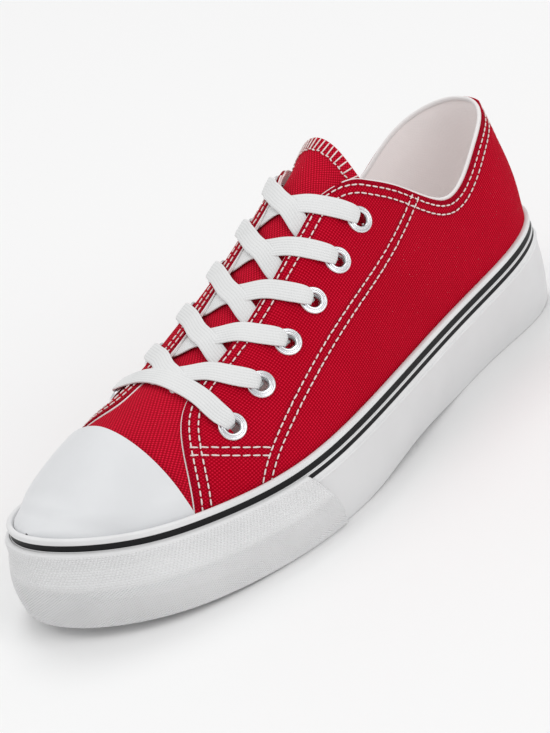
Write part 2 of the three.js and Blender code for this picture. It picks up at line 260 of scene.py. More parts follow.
def distance_to(targets: Array) -> Callable[[Array], Array]:
    """Prepares a search for the nearest of many points.

    Args:
        targets: The points to measure to.

    Returns:
        A function that gives, for each of some points, its distance to the nearest target.
    """
    tree = KDTree(len(targets))
    for number, target in enumerate(targets):
        tree.insert(target, number)
    tree.balance()

    def distance(points: Array) -> Array:
        """Each point's distance to the nearest target."""
        return np.array([tree.find(point)[2] for point in points])

    return distance


@dataclass
class Last:
    """The foot form that every curved piece follows. Toe at -Y, outer side +X, in millimetres."""

    length: float = 272.0
    foxing_height: float = 10.5
    seat_depth: float = 7.0
    inset: float = 2.2
    wall: float = 2.0
    shoulder_lean: float = 0.5
    toe_spring: tuple[float, float] = (0.3, 5.5)
    arch: tuple[float, float, float] = (0.38, 0.72, 2.5)
    heel_spring: tuple[float, float] = (0.9, 1.5)
    heel_start: float = 0.55
    heel_lean: float = 8.0
    heel_bulge: float = 1.5
    throat_centre: float = 3.0
    collar_front: float = 0.625
    corner_reach: float = 0.045
    corner_fade: float = 0.07
    frame_sections: int = 28
    arc_rows: int = 80
    arc_columns: int = 121
    shift: Array = field(default_factory=lambda: np.zeros(3))

    def __post_init__(self) -> None:
        """Fits the tables' curves and finds where the form stands in the frame."""
        self.half = Column(STATIONS, "half")
        self.centre = Column(STATIONS, "centre")
        self.rim = Column(STATIONS, "rim")
        self.flare = Column(STATIONS, "flare")
        self.belly = Column(STATIONS, "belly")
        self.ridge = Column(STATIONS, "ridge")
        self.bend = Column(STATIONS, "bend")
        self.collar_height = Column(COLLAR, "height")
        turn = np.arange(2 * self.frame_sections) * math.pi / self.frame_sections
        ring = self.outline(turn, self.shoulder_lean)
        low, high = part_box("foxing")
        middle = (np.array(low) + np.array(high))[:2] / 2 / MM
        self.shift[:2] = middle - (ring.min(0) + ring.max(0)) / 2
        self.build_arc_table()

    def build_arc_table(self) -> None:
        """Measures each section's length from the foot edge, for the cloth's thread coordinates."""
        self.arc_along = np.linspace(0.001, 0.999, self.arc_rows)
        self.arc_angle = np.linspace(0, math.pi, self.arc_columns)
        points = self.point(self.arc_along[:, None], self.arc_angle[None, :])
        steps = np.linalg.norm(np.diff(points, axis=1), axis=-1)
        self.arc = np.concatenate([np.zeros((self.arc_rows, 1)), np.cumsum(steps, axis=1)], axis=1)

    def lengthwise(self, along: Array) -> Array:
        """The Y of a place along the shoe."""
        return (along - 0.5) * self.length

    def along_at(self, y: Array) -> Array:
        """The place along the shoe of a Y."""
        return y / self.length + 0.5

    def seat(self, along: Array) -> Array:
        """Height of the upper's foot."""
        return self.rim(along) - self.seat_depth

    def shoulder(self, along: Array) -> Array:
        """Height of the foxing's lower edge."""
        return self.rim(along) - self.foxing_height

    def floor_line(self, along: Array) -> Array:
        """Height of the tread: toe spring, arch and heel spring.

        Args:
            along: Places along the shoe.

        Returns:
            Millimetres above the floor.
        """
        end, rise = self.toe_spring
        toe = rise * unit(1 - along / end) ** 2
        start, stop, rise = self.arch
        arch = rise * np.sin(math.pi * unit((along - start) / (stop - start))) ** 2
        start, rise = self.heel_spring
        return toe + arch + rise * unit((along - start) / (1 - start)) ** 2

    def rim_point(self, turn: Array) -> Array:
        """A point of the rim's outline.

        Args:
            turn: 0 at the toe, growing along the outer side.

        Returns:
            X and Y in millimetres.
        """
        along = (1 - np.cos(turn)) / 2
        x = self.centre(along) + np.sin(turn) * self.half(along)
        return np.stack([x, self.lengthwise(along)], -1)

    def outline(self, turn: Array, outward: Array) -> Array:
        """The rim's outline moved out along its normal.

        Args:
            turn: Place round the outline.
            outward: How far out, one value or one for each turn.

        Returns:
            X and Y of each point.
        """
        tangent = normalised(self.rim_point(turn + 1e-4) - self.rim_point(turn - 1e-4))
        normal = np.stack([tangent[..., 1], -tangent[..., 0]], -1)
        return self.rim_point(turn) + np.asarray(outward)[..., None] * normal

    def side_offset(self, along: Array, z: Array) -> Array:
        """How far the sole's side stands outside the rim's outline at a height.

        Args:
            along: Places along the shoe.
            z: Heights at them.

        Returns:
            Millimetres outside the outline.
        """
        top = self.shoulder(along)
        band = self.shoulder_lean * (self.rim(along) - z) / self.foxing_height
        down = (top - z) / (top - self.floor_line(along))
        wall = self.shoulder_lean * (1 - down) + self.flare(along) * down
        return np.where(z >= top, band, wall + self.belly(along) * np.sin(math.pi * unit(down)))

    def point(self, along: Array, angle: Array, outward: float = 0.0) -> Array:
        """A point of the form.

        Args:
            along: 0 at the toe to 1 at the heel.
            angle: 0 at the outer foot edge, pi / 2 at the crest, pi at the inner foot edge.
            outward: How far the whole form is grown.

        Returns:
            The points, in millimetres.
        """
        along, angle = np.broadcast_arrays(np.asarray(along, float), np.asarray(angle, float))
        inset = self.inset - outward
        power = 2 / self.bend(along)
        height = np.maximum(np.sin(angle), 0) ** power
        across = signed_power(np.cos(angle), power)
        closing = 2 * np.sqrt(np.maximum(along * (1 - along), 0))
        crest = np.maximum(self.ridge(along) - self.seat(along) + outward, 0)
        rear = unit((along - self.heel_start) / (1 - self.heel_start)) ** 2
        back = self.heel_bulge * np.sin(math.pi * unit(height * 2)) - 2 * self.heel_lean * height**2
        x = self.centre(along) + closing * (self.half(along) - inset) * across
        y = (along - 0.5) * (self.length - 2 * inset) + rear * back
        return np.stack([x, y, self.seat(along) + crest * height], -1)

    def normal(self, along: Array, angle: Array) -> Array:
        """The form's outward normal.

        Args:
            along: Places along the shoe.
            angle: Angles over the section.

        Returns:
            A vector of length 1 for each.
        """
        near = np.clip(along, 2e-3, 1 - 2e-3)
        held = np.clip(angle, 2e-3, math.pi - 2e-3)
        lengthways = self.point(near + 1e-3, held) - self.point(near - 1e-3, held)
        over = self.point(near, held + 1e-3) - self.point(near, held - 1e-3)
        return normalised(np.cross(lengthways, over))

    def lifted(self, along: Array, angle: Array, lift: Array) -> Array:
        """A point standing "lift" off the form along its normal."""
        return self.point(along, angle) + np.asarray(lift)[..., None] * self.normal(along, angle)

    def angle_at(self, along: Array, aside: Array) -> Array:
        """The angle at which the form is "aside" from the centre line, outer side positive.

        Args:
            along: Places along the shoe.
            aside: Millimetres from the centre line.

        Returns:
            The angles.
        """
        width = 2 * np.sqrt(along * (1 - along)) * (self.half(along) - self.inset)
        angle = np.arccos(unit(np.abs(aside) / width) ** (self.bend(along) / 2))
        return np.where(aside >= 0, angle, math.pi - angle)

    def collar_angle(self, along: Array) -> Array:
        """The angle, from the foot edge, at which a section meets the collar line.

        Args:
            along: Places along the shoe.

        Returns:
            The angle on the outer side.
        """
        angle = np.full_like(along, 0.3 * math.pi)
        for _ in range(12):
            y = self.point(along, angle)[..., 1]
            top = self.collar_height(self.along_at(y))
            share = unit((top - self.seat(along)) / (self.ridge(along) - self.seat(along)))
            angle = np.arcsin(share ** (self.bend(along) / 2))
        return angle

    def quarter_top(self, along: Array, side: Side) -> Array:
        """The angle of a quarter's upper edge, with the corner between facing and collar rounded.

        Args:
            along: Places along the shoe.
            side: Which quarter.

        Returns:
            Angles from its foot edge.
        """
        reach = self.corner_reach * np.exp(-(((along - self.collar_front) / self.corner_fade) ** 2))
        around = [self.sharp_top(along + reach * share, side) for share in np.linspace(-1, 1, 9)]
        return np.mean(around, axis=0)

    def sharp_top(self, along: Array, side: Side) -> Array:
        """The angle of a quarter's upper edge: front edge, facing and then collar.

        Args:
            along: Places along the shoe.
            side: Which quarter.

        Returns:
            Angles from its foot edge.
        """
        front = QUARTER_EDGE[side](np.minimum(along, self.collar_front)) * math.pi
        rear = self.collar_angle(np.maximum(along, self.collar_front))
        blend = smooth((along - self.collar_front + 0.012) / 0.02)
        return front * (1 - blend) + rear * blend

    def threads(self, along: Array, angle: Array) -> Array:
        """Thread coordinates of the cloth in millimetres: lengthwise, and over the section.

        Args:
            along: Places along the shoe.
            angle: Angles over the section.

        Returns:
            A pair for each place.
        """
        row = np.interp(along, self.arc_along, np.arange(self.arc_rows))
        i = np.clip(row.astype(int), 0, self.arc_rows - 2)
        mix = row - i
        place = np.interp(angle, self.arc_angle, np.arange(self.arc_columns))
        j = np.clip(place.astype(int), 0, self.arc_columns - 2)
        part = place - j
        low = self.arc[i, j] * (1 - part) + self.arc[i, j + 1] * part
        high = self.arc[i + 1, j] * (1 - part) + self.arc[i + 1, j + 1] * part
        return np.stack([self.lengthwise(along), low * (1 - mix) + high * mix], -1)

    def metres(self, points: Array) -> Array:
        """Millimetres on the form as metres in the frame."""
        return (points + self.shift) * MM

    def millimetres(self, points: Array) -> Array:
        """Metres in the frame as millimetres on the form."""
        return points / MM - self.shift


# ---- Workbench ----------------------------------------------------------------------------


class Bench:
    """Primitives, edit-mode steps and modifiers. Shapes are worked out in millimetres."""

    def __init__(self, last: Last) -> None:
        """Keeps the last, whose place in the frame every piece shares."""
        self.last = last

    @staticmethod
    def clear() -> None:
        """Leaves edit mode and deselects everything."""
        if bpy.context.object and bpy.context.object.mode != "OBJECT":
            bpy.ops.object.mode_set(mode="OBJECT")
        bpy.ops.object.select_all(action="DESELECT")

    @classmethod
    def pick(cls, piece: Piece) -> None:
        """Selects one piece and makes it active.

        Args:
            piece: The mesh object.
        """
        cls.clear()
        piece.select_set(True)
        bpy.context.view_layer.objects.active = piece

    @staticmethod
    def read(items: bpy.types.bpy_prop_collection, key: str) -> Array:
        """One vector of each vertex or face, such as its place, in metres.

        Args:
            items: A mesh's vertices or faces.
            key: The vector to read.

        Returns:
            One row for each.
        """
        flat = np.empty(len(items) * 3, np.float32)
        items.foreach_get(key, flat)
        return flat.reshape(-1, 3).astype(float)

    def grid(
        self, name: str, columns: int, rows: int, place: Place, threads: Place | None = None
    ) -> Piece:
        """A grid primitive whose points are set by a function.

        Args:
            name: The piece's name.
            columns: Faces along u.
            rows: Faces along v.
            place: Gives points in millimetres for u and v from 0 to 1.
            threads: Gives the UV map in millimetres for u and v. Without it the map is the plan view.

        Returns:
            The new mesh object, at the origin.
        """
        self.clear()
        bpy.ops.mesh.primitive_grid_add(x_subdivisions=columns, y_subdivisions=rows, size=1.0)
        piece = bpy.context.object
        piece.name = name
        mesh = piece.data
        start = self.read(mesh.vertices, "co")
        u = np.round(start[:, 0] * columns + columns / 2) / columns
        v = np.round(start[:, 1] * rows + rows / 2) / rows
        points = place(u, v)
        mesh.vertices.foreach_set("co", self.last.metres(points).astype(np.float32).ravel())
        corner = np.empty(len(mesh.loops), np.int32)
        mesh.loops.foreach_get("vertex_index", corner)
        mapped = (threads(u, v) if threads else points[:, :2])[corner]
        mesh.uv_layers.active.data.foreach_set("uv", mapped.astype(np.float32).ravel())
        mesh.update()
        return piece

    def edit(self, piece: Piece, *steps: Callable[[], object]) -> Piece:
        """Runs operators in edit mode with the whole mesh selected.

        Args:
            piece: The mesh object.
            *steps: The operator calls, in order.

        Returns:
            The piece.
        """
        self.pick(piece)
        bpy.ops.object.mode_set(mode="EDIT")
        bpy.ops.mesh.select_all(action="SELECT")
        for step in steps:
            step()
        bpy.ops.object.mode_set(mode="OBJECT")
        return piece

    def weld(self, piece: Piece, close_ends: bool = False) -> Piece:
        """Merges points that coincide, closes open ends if asked and turns the faces outward.

        Args:
            piece: The mesh object.
            close_ends: Whether to fill open ends.

        Returns:
            The piece.
        """
        steps: list[Callable[[], object]] = [lambda: bpy.ops.mesh.remove_doubles(threshold=2e-6)]
        if close_ends:
            steps.append(lambda: bpy.ops.mesh.fill_holes(sides=0))
        steps.append(lambda: bpy.ops.mesh.normals_make_consistent(inside=False))
        return self.edit(piece, *steps)

    def modify(self, piece: Piece, kind: str, **settings: object) -> Piece:
        """Adds one modifier, sets it up and applies it.

        Args:
            piece: The mesh object.
            kind: The modifier's type.
            **settings: Its properties.

        Returns:
            The piece.
        """
        self.pick(piece)
        modifier = piece.modifiers.new(kind.title(), kind)
        for key, value in settings.items():
            setattr(modifier, key, value)
        bpy.ops.object.modifier_apply(modifier=modifier.name)
        return piece

    def drill(
        self, piece: Piece, seats: Sequence[tuple[Array, Array]], radius: float
    ) -> Piece:
        """Opens holes in a sheet.

        Args:
            piece: The sheet.
            seats: Each hole's centre in millimetres and its direction.
            radius: The holes' radius in millimetres.

        Returns:
            The sheet.
        """
        mesh = piece.data
        points = self.last.millimetres(self.read(mesh.polygons, "center"))
        inside = np.zeros(len(points), bool)
        for centre, normal in seats:
            away = points - centre
            deep = away @ normal
            beside = np.linalg.norm(away - deep[:, None] * normal, axis=1)
            inside |= (beside < radius) & (np.abs(deep) < HOLE_DEPTH)
        self.pick(piece)
        bpy.ops.object.mode_set(mode="EDIT")
        bpy.ops.mesh.select_mode(type="FACE")
        bpy.ops.mesh.select_all(action="DESELECT")
        bpy.ops.object.mode_set(mode="OBJECT")
        mesh.polygons.foreach_set("select", inside)
        bpy.ops.object.mode_set(mode="EDIT")
        bpy.ops.mesh.delete(type="FACE")
        bpy.ops.mesh.select_mode(type="VERT")
        bpy.ops.object.mode_set(mode="OBJECT")
        return piece

    def thicken(self, piece: Piece, thickness: float) -> Piece:
        """Gives a sheet its thickness in millimetres, inward from the modelled face."""
        return self.modify(piece, "SOLIDIFY", thickness=thickness * MM, offset=-1.0, use_even_offset=True)

    def soften(self, piece: Piece, width: float, angle: float = 50.0) -> Piece:
        """Rounds the sharp edges over a width in millimetres.

        Args:
            piece: The mesh object.
            width: The bevel's width.
            angle: Edges sharper than this, in degrees.

        Returns:
            The piece.
        """
        limit = math.radians(angle)
        return self.modify(
            piece, "BEVEL", width=width * MM, segments=2, limit_method="ANGLE", angle_limit=limit
        )

    def shade(self, piece: Piece, angle: float = 40.0) -> Piece:
        """Shades a piece smooth up to an angle.

        Args:
            piece: The mesh object.
            angle: The largest angle that is shaded smooth, in degrees.

        Returns:
            The piece.
        """
        self.pick(piece)
        bpy.ops.object.shade_smooth_by_angle(angle=math.radians(angle))
        return piece

    def join(self, pieces: Sequence[Piece], name: str) -> Piece:
        """Joins meshes into one piece.

        Args:
            pieces: The meshes.
            name: The joined piece's name.

        Returns:
            The joined piece.
        """
        self.clear()
        for piece in pieces:
            piece.select_set(True)
        bpy.context.view_layer.objects.active = pieces[0]
        if len(pieces) > 1:
            bpy.ops.object.join()
        pieces[0].name = name
        return pieces[0]

    def sweep(self, name: str, path: Array, across: Array, up: Array, section: Array) -> Piece:
        """A closed section carried along a path.

        Args:
            name: The piece's name.
            path: Points in millimetres.
            across: The section's first direction at each point.
            up: The section's second direction at each point.
            section: Points of the section, the same for all of the path or one set for each point.

        Returns:
            The swept piece, with U along the path and V round the section in its UV map.
        """
        count = len(path)
        sections = np.broadcast_to(section, (count, *section.shape[-2:]))
        around = sections.shape[1]
        run = run_along(path)
        looped = np.concatenate([sections, sections[:, :1]], axis=1)
        girth = np.linalg.norm(np.diff(looped, axis=1), axis=-1)
        round_run = np.concatenate([np.zeros((count, 1)), np.cumsum(girth, axis=1)], axis=1)

        def index(u: Array, v: Array) -> tuple[Array, Array]:
            """Row and section point of each grid point."""
            return np.rint(u * (count - 1)).astype(int), np.rint(v * around).astype(int)

        def place(u: Array, v: Array) -> Array:
            """Points of the swept surface.

            Args:
                u: Share of the path's points.
                v: Share of the section's outline.

            Returns:
                The points.
            """
            i, j = index(u, v)
            s = looped[i, j]
            return path[i] + s[:, :1] * across[i] + s[:, 1:] * up[i]

        def threads(u: Array, v: Array) -> Array:
            """Distance along the path, and round the section."""
            i, j = index(u, v)
            return np.stack([run[i], round_run[i, j]], -1)

        piece = self.grid(name, count - 1, around, place, threads)
        return self.weld(piece, close_ends=True)

    def settle(self, piece: Piece, finish: "Finish", slot: str, *nodes: str) -> Piece:
        """Dresses a piece, puts it on the shoe's body and hides the frame nodes that it stands for.

        Args:
            piece: The mesh object.
            finish: Its surface.
            slot: Its material slot in the frame; not used.
            *nodes: The frame nodes that it replaces.

        Returns:
            The piece.
        """
        piece.data.materials.clear()
        piece.data.materials.append(finish.material())
        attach(piece, BODY)
        if nodes:
            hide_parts(*nodes)
        log.info("%s: %d faces", piece.name, len(piece.data.polygons))
        return piece


# ---- Finishes -----------------------------------------------------------------------------

Colour = tuple[float, float, float]


class Wire:
    """A shader socket with arithmetic."""

    def __init__(self, graph: "Graph", socket: bpy.types.NodeSocket) -> None:
        """Wraps an output socket of a graph."""
        self.graph = graph
        self.socket = socket

    def _with(self, operation: str, *others: "Wire | float") -> "Wire":
        """This value and others through a Math node."""
        values = {i: value for i, value in enumerate((self, *others))}
        return self.graph.add("ShaderNodeMath", {"operation": operation}, values)

    def __add__(self, other: "Wire | float") -> "Wire":
        """Sum."""
        return self._with("ADD", other)

    def __sub__(self, other: "Wire | float") -> "Wire":
        """Difference."""
        return self._with("SUBTRACT", other)

    def __rsub__(self, other: float) -> "Wire":
        """Difference from a number."""
        return self * -1.0 + other

    def __mul__(self, other: "Wire | float") -> "Wire":
        """Product."""
        return self._with("MULTIPLY", other)

    def sine(self) -> "Wire":
        """Sine of a value in radians."""
        return self._with("SINE")

    def absolute(self) -> "Wire":
        """Size without sign."""
        return self._with("ABSOLUTE")

    def maximum(self, other: "Wire | float") -> "Wire":
        """The larger of two values."""
        return self._with("MAXIMUM", other)

    def step(self, low: float, high: float) -> "Wire":
        """A soft step from 0 below "low" to 1 above "high".

        Args:
            low: Where the step starts.
            high: Where it ends.

        Returns:
            The stepped value.
        """
        return self.graph.add(
            "ShaderNodeMapRange", {"interpolation_type": "SMOOTHSTEP"}, {0: self, 1: low, 2: high}
        )


class Graph:
    """One material's node graph."""

    def __init__(self, name: str) -> None:
        """Starts a material with only a shader and an output.

        Args:
            name: The material's name.
        """
        self.made = bpy.data.materials.new(name)
        self.made.use_nodes = True
        self.nodes = self.made.node_tree.nodes
        self.links = self.made.node_tree.links
        self.shader = self.nodes["Principled BSDF"]

    def add(
        self, kind: str, settings: dict[str, object], inputs: dict[int | str, object], output: int | str = 0
    ) -> Wire:
        """Adds a node.

        Args:
            kind: The node's type.
            settings: Its properties, set first.
            inputs: Values or wires for its sockets.
            output: The socket to hand back.

        Returns:
            The chosen output.
        """
        node = self.nodes.new(kind)
        for key, value in settings.items():
            setattr(node, key, value)
        for key, value in inputs.items():
            if isinstance(value, Wire):
                self.links.new(value.socket, node.inputs[key])
            else:
                node.inputs[key].default_value = value
        return Wire(self, node.outputs[output])

    def threads(self) -> tuple[Wire, Wire]:
        """The UV map's two thread coordinates, in millimetres.

        Returns:
            U and V.
        """
        uv = self.add("ShaderNodeUVMap", {}, {})
        return (
            self.add("ShaderNodeSeparateXYZ", {}, {0: uv}, 0),
            self.add("ShaderNodeSeparateXYZ", {}, {0: uv}, 1),
        )

    def noise(self, per_metre: float, detail: float = 2.0) -> Wire:
        """Noise on the piece's own coordinates, about 0.5 on average."""
        place = self.add("ShaderNodeTexCoord", {}, {}, "Object")
        return self.add("ShaderNodeTexNoise", {}, {"Vector": place, "Scale": per_metre, "Detail": detail})

    def mix(self, share: Wire | float, low: Wire | Colour, high: Wire | Colour) -> Wire:
        """A blend of two colours."""
        values = {0: share, 6: self._colour(low), 7: self._colour(high)}
        return self.add("ShaderNodeMix", {"data_type": "RGBA"}, values, 2)

    @staticmethod
    def _colour(value: Wire | Colour) -> Wire | tuple[float, float, float, float]:
        """A wire as it is, or a plain colour made opaque."""
        return value if isinstance(value, Wire) else (*value, 1.0)

    def bump(self, height: Wire, distance: float, strength: float) -> None:
        """Feeds a height, in units of "distance" metres, to the shader's normal."""
        values = {"Height": height, "Distance": distance, "Strength": strength}
        self.link("Normal", self.add("ShaderNodeBump", {}, values))

    def link(self, socket: str, wire: Wire) -> None:
        """Feeds one of the shader's sockets."""
        self.links.new(wire.socket, self.shader.inputs[socket])

    def set(self, **values: float | tuple[float, ...]) -> None:
        """Sets constants on the shader's sockets, named with underscores for spaces."""
        for key, value in values.items():
            self.shader.inputs[key.replace("_", " ").title().replace("Ior", "IOR")].default_value = value


@dataclass(frozen=True)
class Finish:
    """A surface finish. Each kind builds its graph once."""

    name: str

    def material(self) -> bpy.types.Material:
        """The finish's material, made on first use.

        Returns:
            The material.
        """
        name = f"{self.name}_finish"
        found = bpy.data.materials.get(name)
        if found:
            return found
        graph = Graph(name)
        self.paint(graph)
        return graph.made

    def paint(self, graph: Graph) -> None:
        """Builds the graph."""
        raise NotImplementedError


@dataclass(frozen=True)
class Canvas(Finish):
    """Plain-weave cotton canvas: warp and weft cross in a chequer of raised threads, whose crowns carry a
    painted highlight and whose hollows a painted shade.
    """

    thread: float = 0.76
    # low is the painted shade of the weave's hollows, high the painted highlight of its crowns; slubs and
    # patches also mix them as random tone.
    low: Colour = (0.37, 0.0, 0.009)
    high: Colour = (0.72, 0.010, 0.043)
    # shade is a painted shade colour, laid into the stitch troughs and along the folded edge where the "seam"
    # attribute asks for it.
    shade: Colour = (0.22, 0.0, 0.010)
    painted_seam_shade: float = 0.55
    lustre: float = 0.05

    def paint(self, graph: Graph) -> None:
        """Builds the graph.

        Args:
            graph: The material's graph.
        """
        u, v = graph.threads()
        wander = graph.noise(260.0, 2.0) * 0.5
        warp = ((u + wander) * (math.pi / self.thread)).sine()
        weft = ((v + wander) * (math.pi / self.thread)).sine()
        cross = warp * weft
        crown = cross.step(-0.35, 0.95)
        slub = graph.noise(1400.0, 3.0)
        patch = graph.noise(38.0, 3.0)
        # Painted highlight and shade: raised crowns lighter, hollows darker; slub and patch add random tone.
        tone = crown * 0.74 + slub * 0.24 + (patch - 0.5) * 0.25
        woven = graph.mix(tone.step(0.08, 0.95), self.low, self.high)
        # Painted shade: the "seam" attribute darkens the canvas in the stitch troughs and along the folded
        # edge.
        sewn = graph.add("ShaderNodeAttribute", {"attribute_name": "seam"}, {}, "Fac")
        graph.link("Base Color", graph.mix(sewn * self.painted_seam_shade, woven, self.shade))
        graph.set(roughness=0.9, specular_ior_level=self.lustre)
        graph.bump(cross * 0.5 + slub * 0.35, 0.00032, 0.9)


@dataclass(frozen=True)
class Rubber(Finish):
    """Moulded rubber with a faint orange-peel surface and a touch of dust in its tone."""

    low: Colour = (0.70, 0.70, 0.71)
    high: Colour = (0.78, 0.78, 0.79)
    gloss: float = 0.42
    coat: float = 0.12
    peel: float = 0.00004
    specular: float = 0.45

    def paint(self, graph: Graph) -> None:
        """Builds the graph.

        Args:
            graph: The material's graph.
        """
        tone = graph.noise(55.0, 4.0)
        graph.link("Base Color", graph.mix(tone.step(0.3, 0.7), self.low, self.high))
        grain = graph.noise(900.0, 2.0)
        graph.link("Roughness", grain * 0.12 + (self.gloss - 0.06))
        graph.set(coat_weight=self.coat, coat_roughness=0.3, specular_ior_level=self.specular)
        graph.bump(grain * 0.6 + graph.noise(160.0, 2.0) * 0.4, self.peel, 0.5)


@dataclass(frozen=True)
class StripedRubber(Rubber):
    """The foxing's rubber. V is the depth below the rim, where black lines are laid in and a painted shadow
    greys the groove between them.
    """

    lines: tuple[tuple[float, float], ...] = ((2.1, 4.7), (5.7, 7.6))
    groove: tuple[float, float] = (5.05, 5.25)
    ink: Colour = (0.008, 0.008, 0.009)
    groove_shadow_tone: Colour = (0.30, 0.30, 0.31)
    groove_shadow_share: float = 0.55
    softness: float = 0.05

    def paint(self, graph: Graph) -> None:
        """Builds the graph.

        Args:
            graph: The material's graph.
        """
        super().paint(graph)
        base = self.shader_colour(graph)
        _, depth = graph.threads()
        mask = self.band(depth, *self.lines[0]).maximum(self.band(depth, *self.lines[1]))
        # Painted shadow: the thin groove between the two black lines is greyed.
        shadow = self.band(depth, *self.groove) * self.groove_shadow_share
        toned = graph.mix(shadow, base, self.groove_shadow_tone)
        graph.link("Base Color", graph.mix(mask, toned, self.ink))

    def band(self, depth: Wire, low: float, high: float) -> Wire:
        """1 between two depths, with a thin soft edge."""
        edge = self.softness
        return depth.step(low - edge, low + edge) * (1.0 - depth.step(high - edge, high + edge))

    @staticmethod
    def shader_colour(graph: Graph) -> Wire:
        """The wire that now feeds the base colour."""
        return Wire(graph, graph.shader.inputs["Base Color"].links[0].from_socket)


@dataclass(frozen=True)
class Cotton(Finish):
    """Flat woven cotton, such as lace or lining, with ribs along it and finer picks across.

    The glow is painted light: a faint emission that brightens the cloth, standing for light that comes
    through the thin cloth.
    """

    low: Colour = (0.62, 0.61, 0.60)
    high: Colour = (0.83, 0.82, 0.81)
    rib: float = 0.55
    pick: float = 0.7
    depth: float = 0.00012
    glow: float = 0.0

    def paint(self, graph: Graph) -> None:
        """Builds the graph.

        Args:
            graph: The material's graph.
        """
        u, v = graph.threads()
        rib = (v * (math.pi / self.rib)).sine().absolute()
        pick = ((v * 0.4 + u) * (math.pi / self.pick)).sine().absolute()
        fuzz = graph.noise(1800.0, 3.0)
        height = rib * 0.6 + pick * 0.2 + fuzz * 0.35
        tone = height * 0.5 + graph.noise(45.0, 3.0) * 0.6
        graph.link("Base Color", graph.mix(tone.step(0.15, 0.75), self.low, self.high))
        graph.set(roughness=0.9, specular_ior_level=0.15, sheen_weight=0.08, sheen_roughness=0.5)
        # Painted light: the glow, a faint pinkish emission; only the lining has one.
        graph.set(emission_color=(1.0, 0.90, 0.89, 1.0), emission_strength=self.glow)
        graph.bump(height, self.depth, 0.7)


@dataclass(frozen=True)
class Thread(Finish):
    """Sewing thread with its twist. U runs along each stitch."""

    # Painted reflected light: the pink in this tone stands for red light that the canvas throws onto the
    # white thread.
    tone: Colour = (0.97, 0.85, 0.82)
    twist: float = 0.45

    def paint(self, graph: Graph) -> None:
        """Builds the graph.

        Args:
            graph: The material's graph.
        """
        u, v = graph.threads()
        ply = ((u + v * 1.4) * (math.pi / self.twist)).sine().absolute()
        dull = tuple(0.72 * part for part in self.tone)
        graph.link("Base Color", graph.mix(ply, dull, self.tone))
        graph.set(roughness=0.75, specular_ior_level=0.25)
        graph.bump(ply, 0.00008, 0.6)


@dataclass(frozen=True)
class Steel(Finish):
    """Plated metal, a little duller in broad patches."""

    tone: Colour = (0.80, 0.81, 0.83)

    def paint(self, graph: Graph) -> None:
        """Builds the graph.

        Args:
            graph: The material's graph.
        """
        marks = graph.noise(260.0, 2.0)
        dull = tuple(0.9 * part for part in self.tone)
        graph.link("Base Color", graph.mix(marks, dull, self.tone))
        graph.link("Roughness", marks * 0.08 + 0.20)
        graph.set(metallic=1.0)


WHITE_RUBBER = Rubber("sole_rubber", (0.69, 0.69, 0.695), (0.71, 0.71, 0.715), 0.45, 0.1, 0.00002)
BAND_RUBBER = StripedRubber("foxing_rubber", (0.74, 0.74, 0.745), (0.79, 0.79, 0.795), 0.5, 0.0, 0.00003, 0.2)
BUMPER_RUBBER = Rubber("bumper_rubber", (0.76, 0.76, 0.765), (0.79, 0.79, 0.795), 0.55, 0.0, 0.00002, 0.3)
CAP_RUBBER = Rubber("cap_rubber", (0.73, 0.74, 0.755), (0.75, 0.76, 0.775), 0.4, 0.15, 0.00002)
RED_CANVAS = Canvas("red_canvas")
# Painted light: a lighter copy of the red canvas for the vamp and tongue, which face the light from above.
LIT_VAMP_CANVAS = Canvas("lit_vamp_canvas", 0.76, (0.38, 0.0, 0.011), (0.84, 0.011, 0.050), lustre=0.12)
STAY_CANVAS = Canvas("stay_canvas", 0.76, (0.33, 0.0, 0.009), (0.64, 0.009, 0.040))
# The lining's glow is painted light that brightens it inside the shoe, where it lies in shade.
LINING = Cotton("lining_cotton", (0.78, 0.75, 0.74), (0.86, 0.82, 0.81), 0.8, 0.8, 0.00006, 0.09)
INSOLE_COTTON = Cotton("insole_cotton", (0.78, 0.76, 0.75), (0.86, 0.84, 0.83), 0.8, 0.8, 0.00006)
PIPING = Cotton("piping_cotton", (0.74, 0.72, 0.715), (0.84, 0.82, 0.815), 0.6, 0.7, 0.00005)
LACE_COTTON = Cotton("lace_cotton", (0.62, 0.63, 0.63), (0.77, 0.775, 0.775), 1.15, 1.2, 0.00015)
WHITE_THREAD = Thread("white_thread")
SILVER = Steel("silver_metal")


# ---- Sole ---------------------------------------------------------------------------------


def rounded_loop(corners: Sequence[tuple[float, float]], radius: float, steps: int = 4) -> Array:
    """A closed outline with its corners rounded.

    Args:
        corners: The outline's corners, in order.
        radius: Corner radius, cut down where an edge is short.
        steps: Points in each corner, less one.

    Returns:
        The rounded outline's points.
    """
    points = np.array(corners, float)
    rounded = []
    for i, corner in enumerate(points):
        before = points[i - 1] - corner
        after = points[(i + 1) % len(points)] - corner
        reach = min(radius, 0.45 * np.linalg.norm(before), 0.45 * np.linalg.norm(after))
        start = corner + reach * normalised(before)
        end = corner + reach * normalised(after)
        for k in range(steps + 1):
            t = k / steps
            rounded.append((1 - t) ** 2 * start + 2 * t * (1 - t) * corner + t * t * end)
    return np.array(rounded)


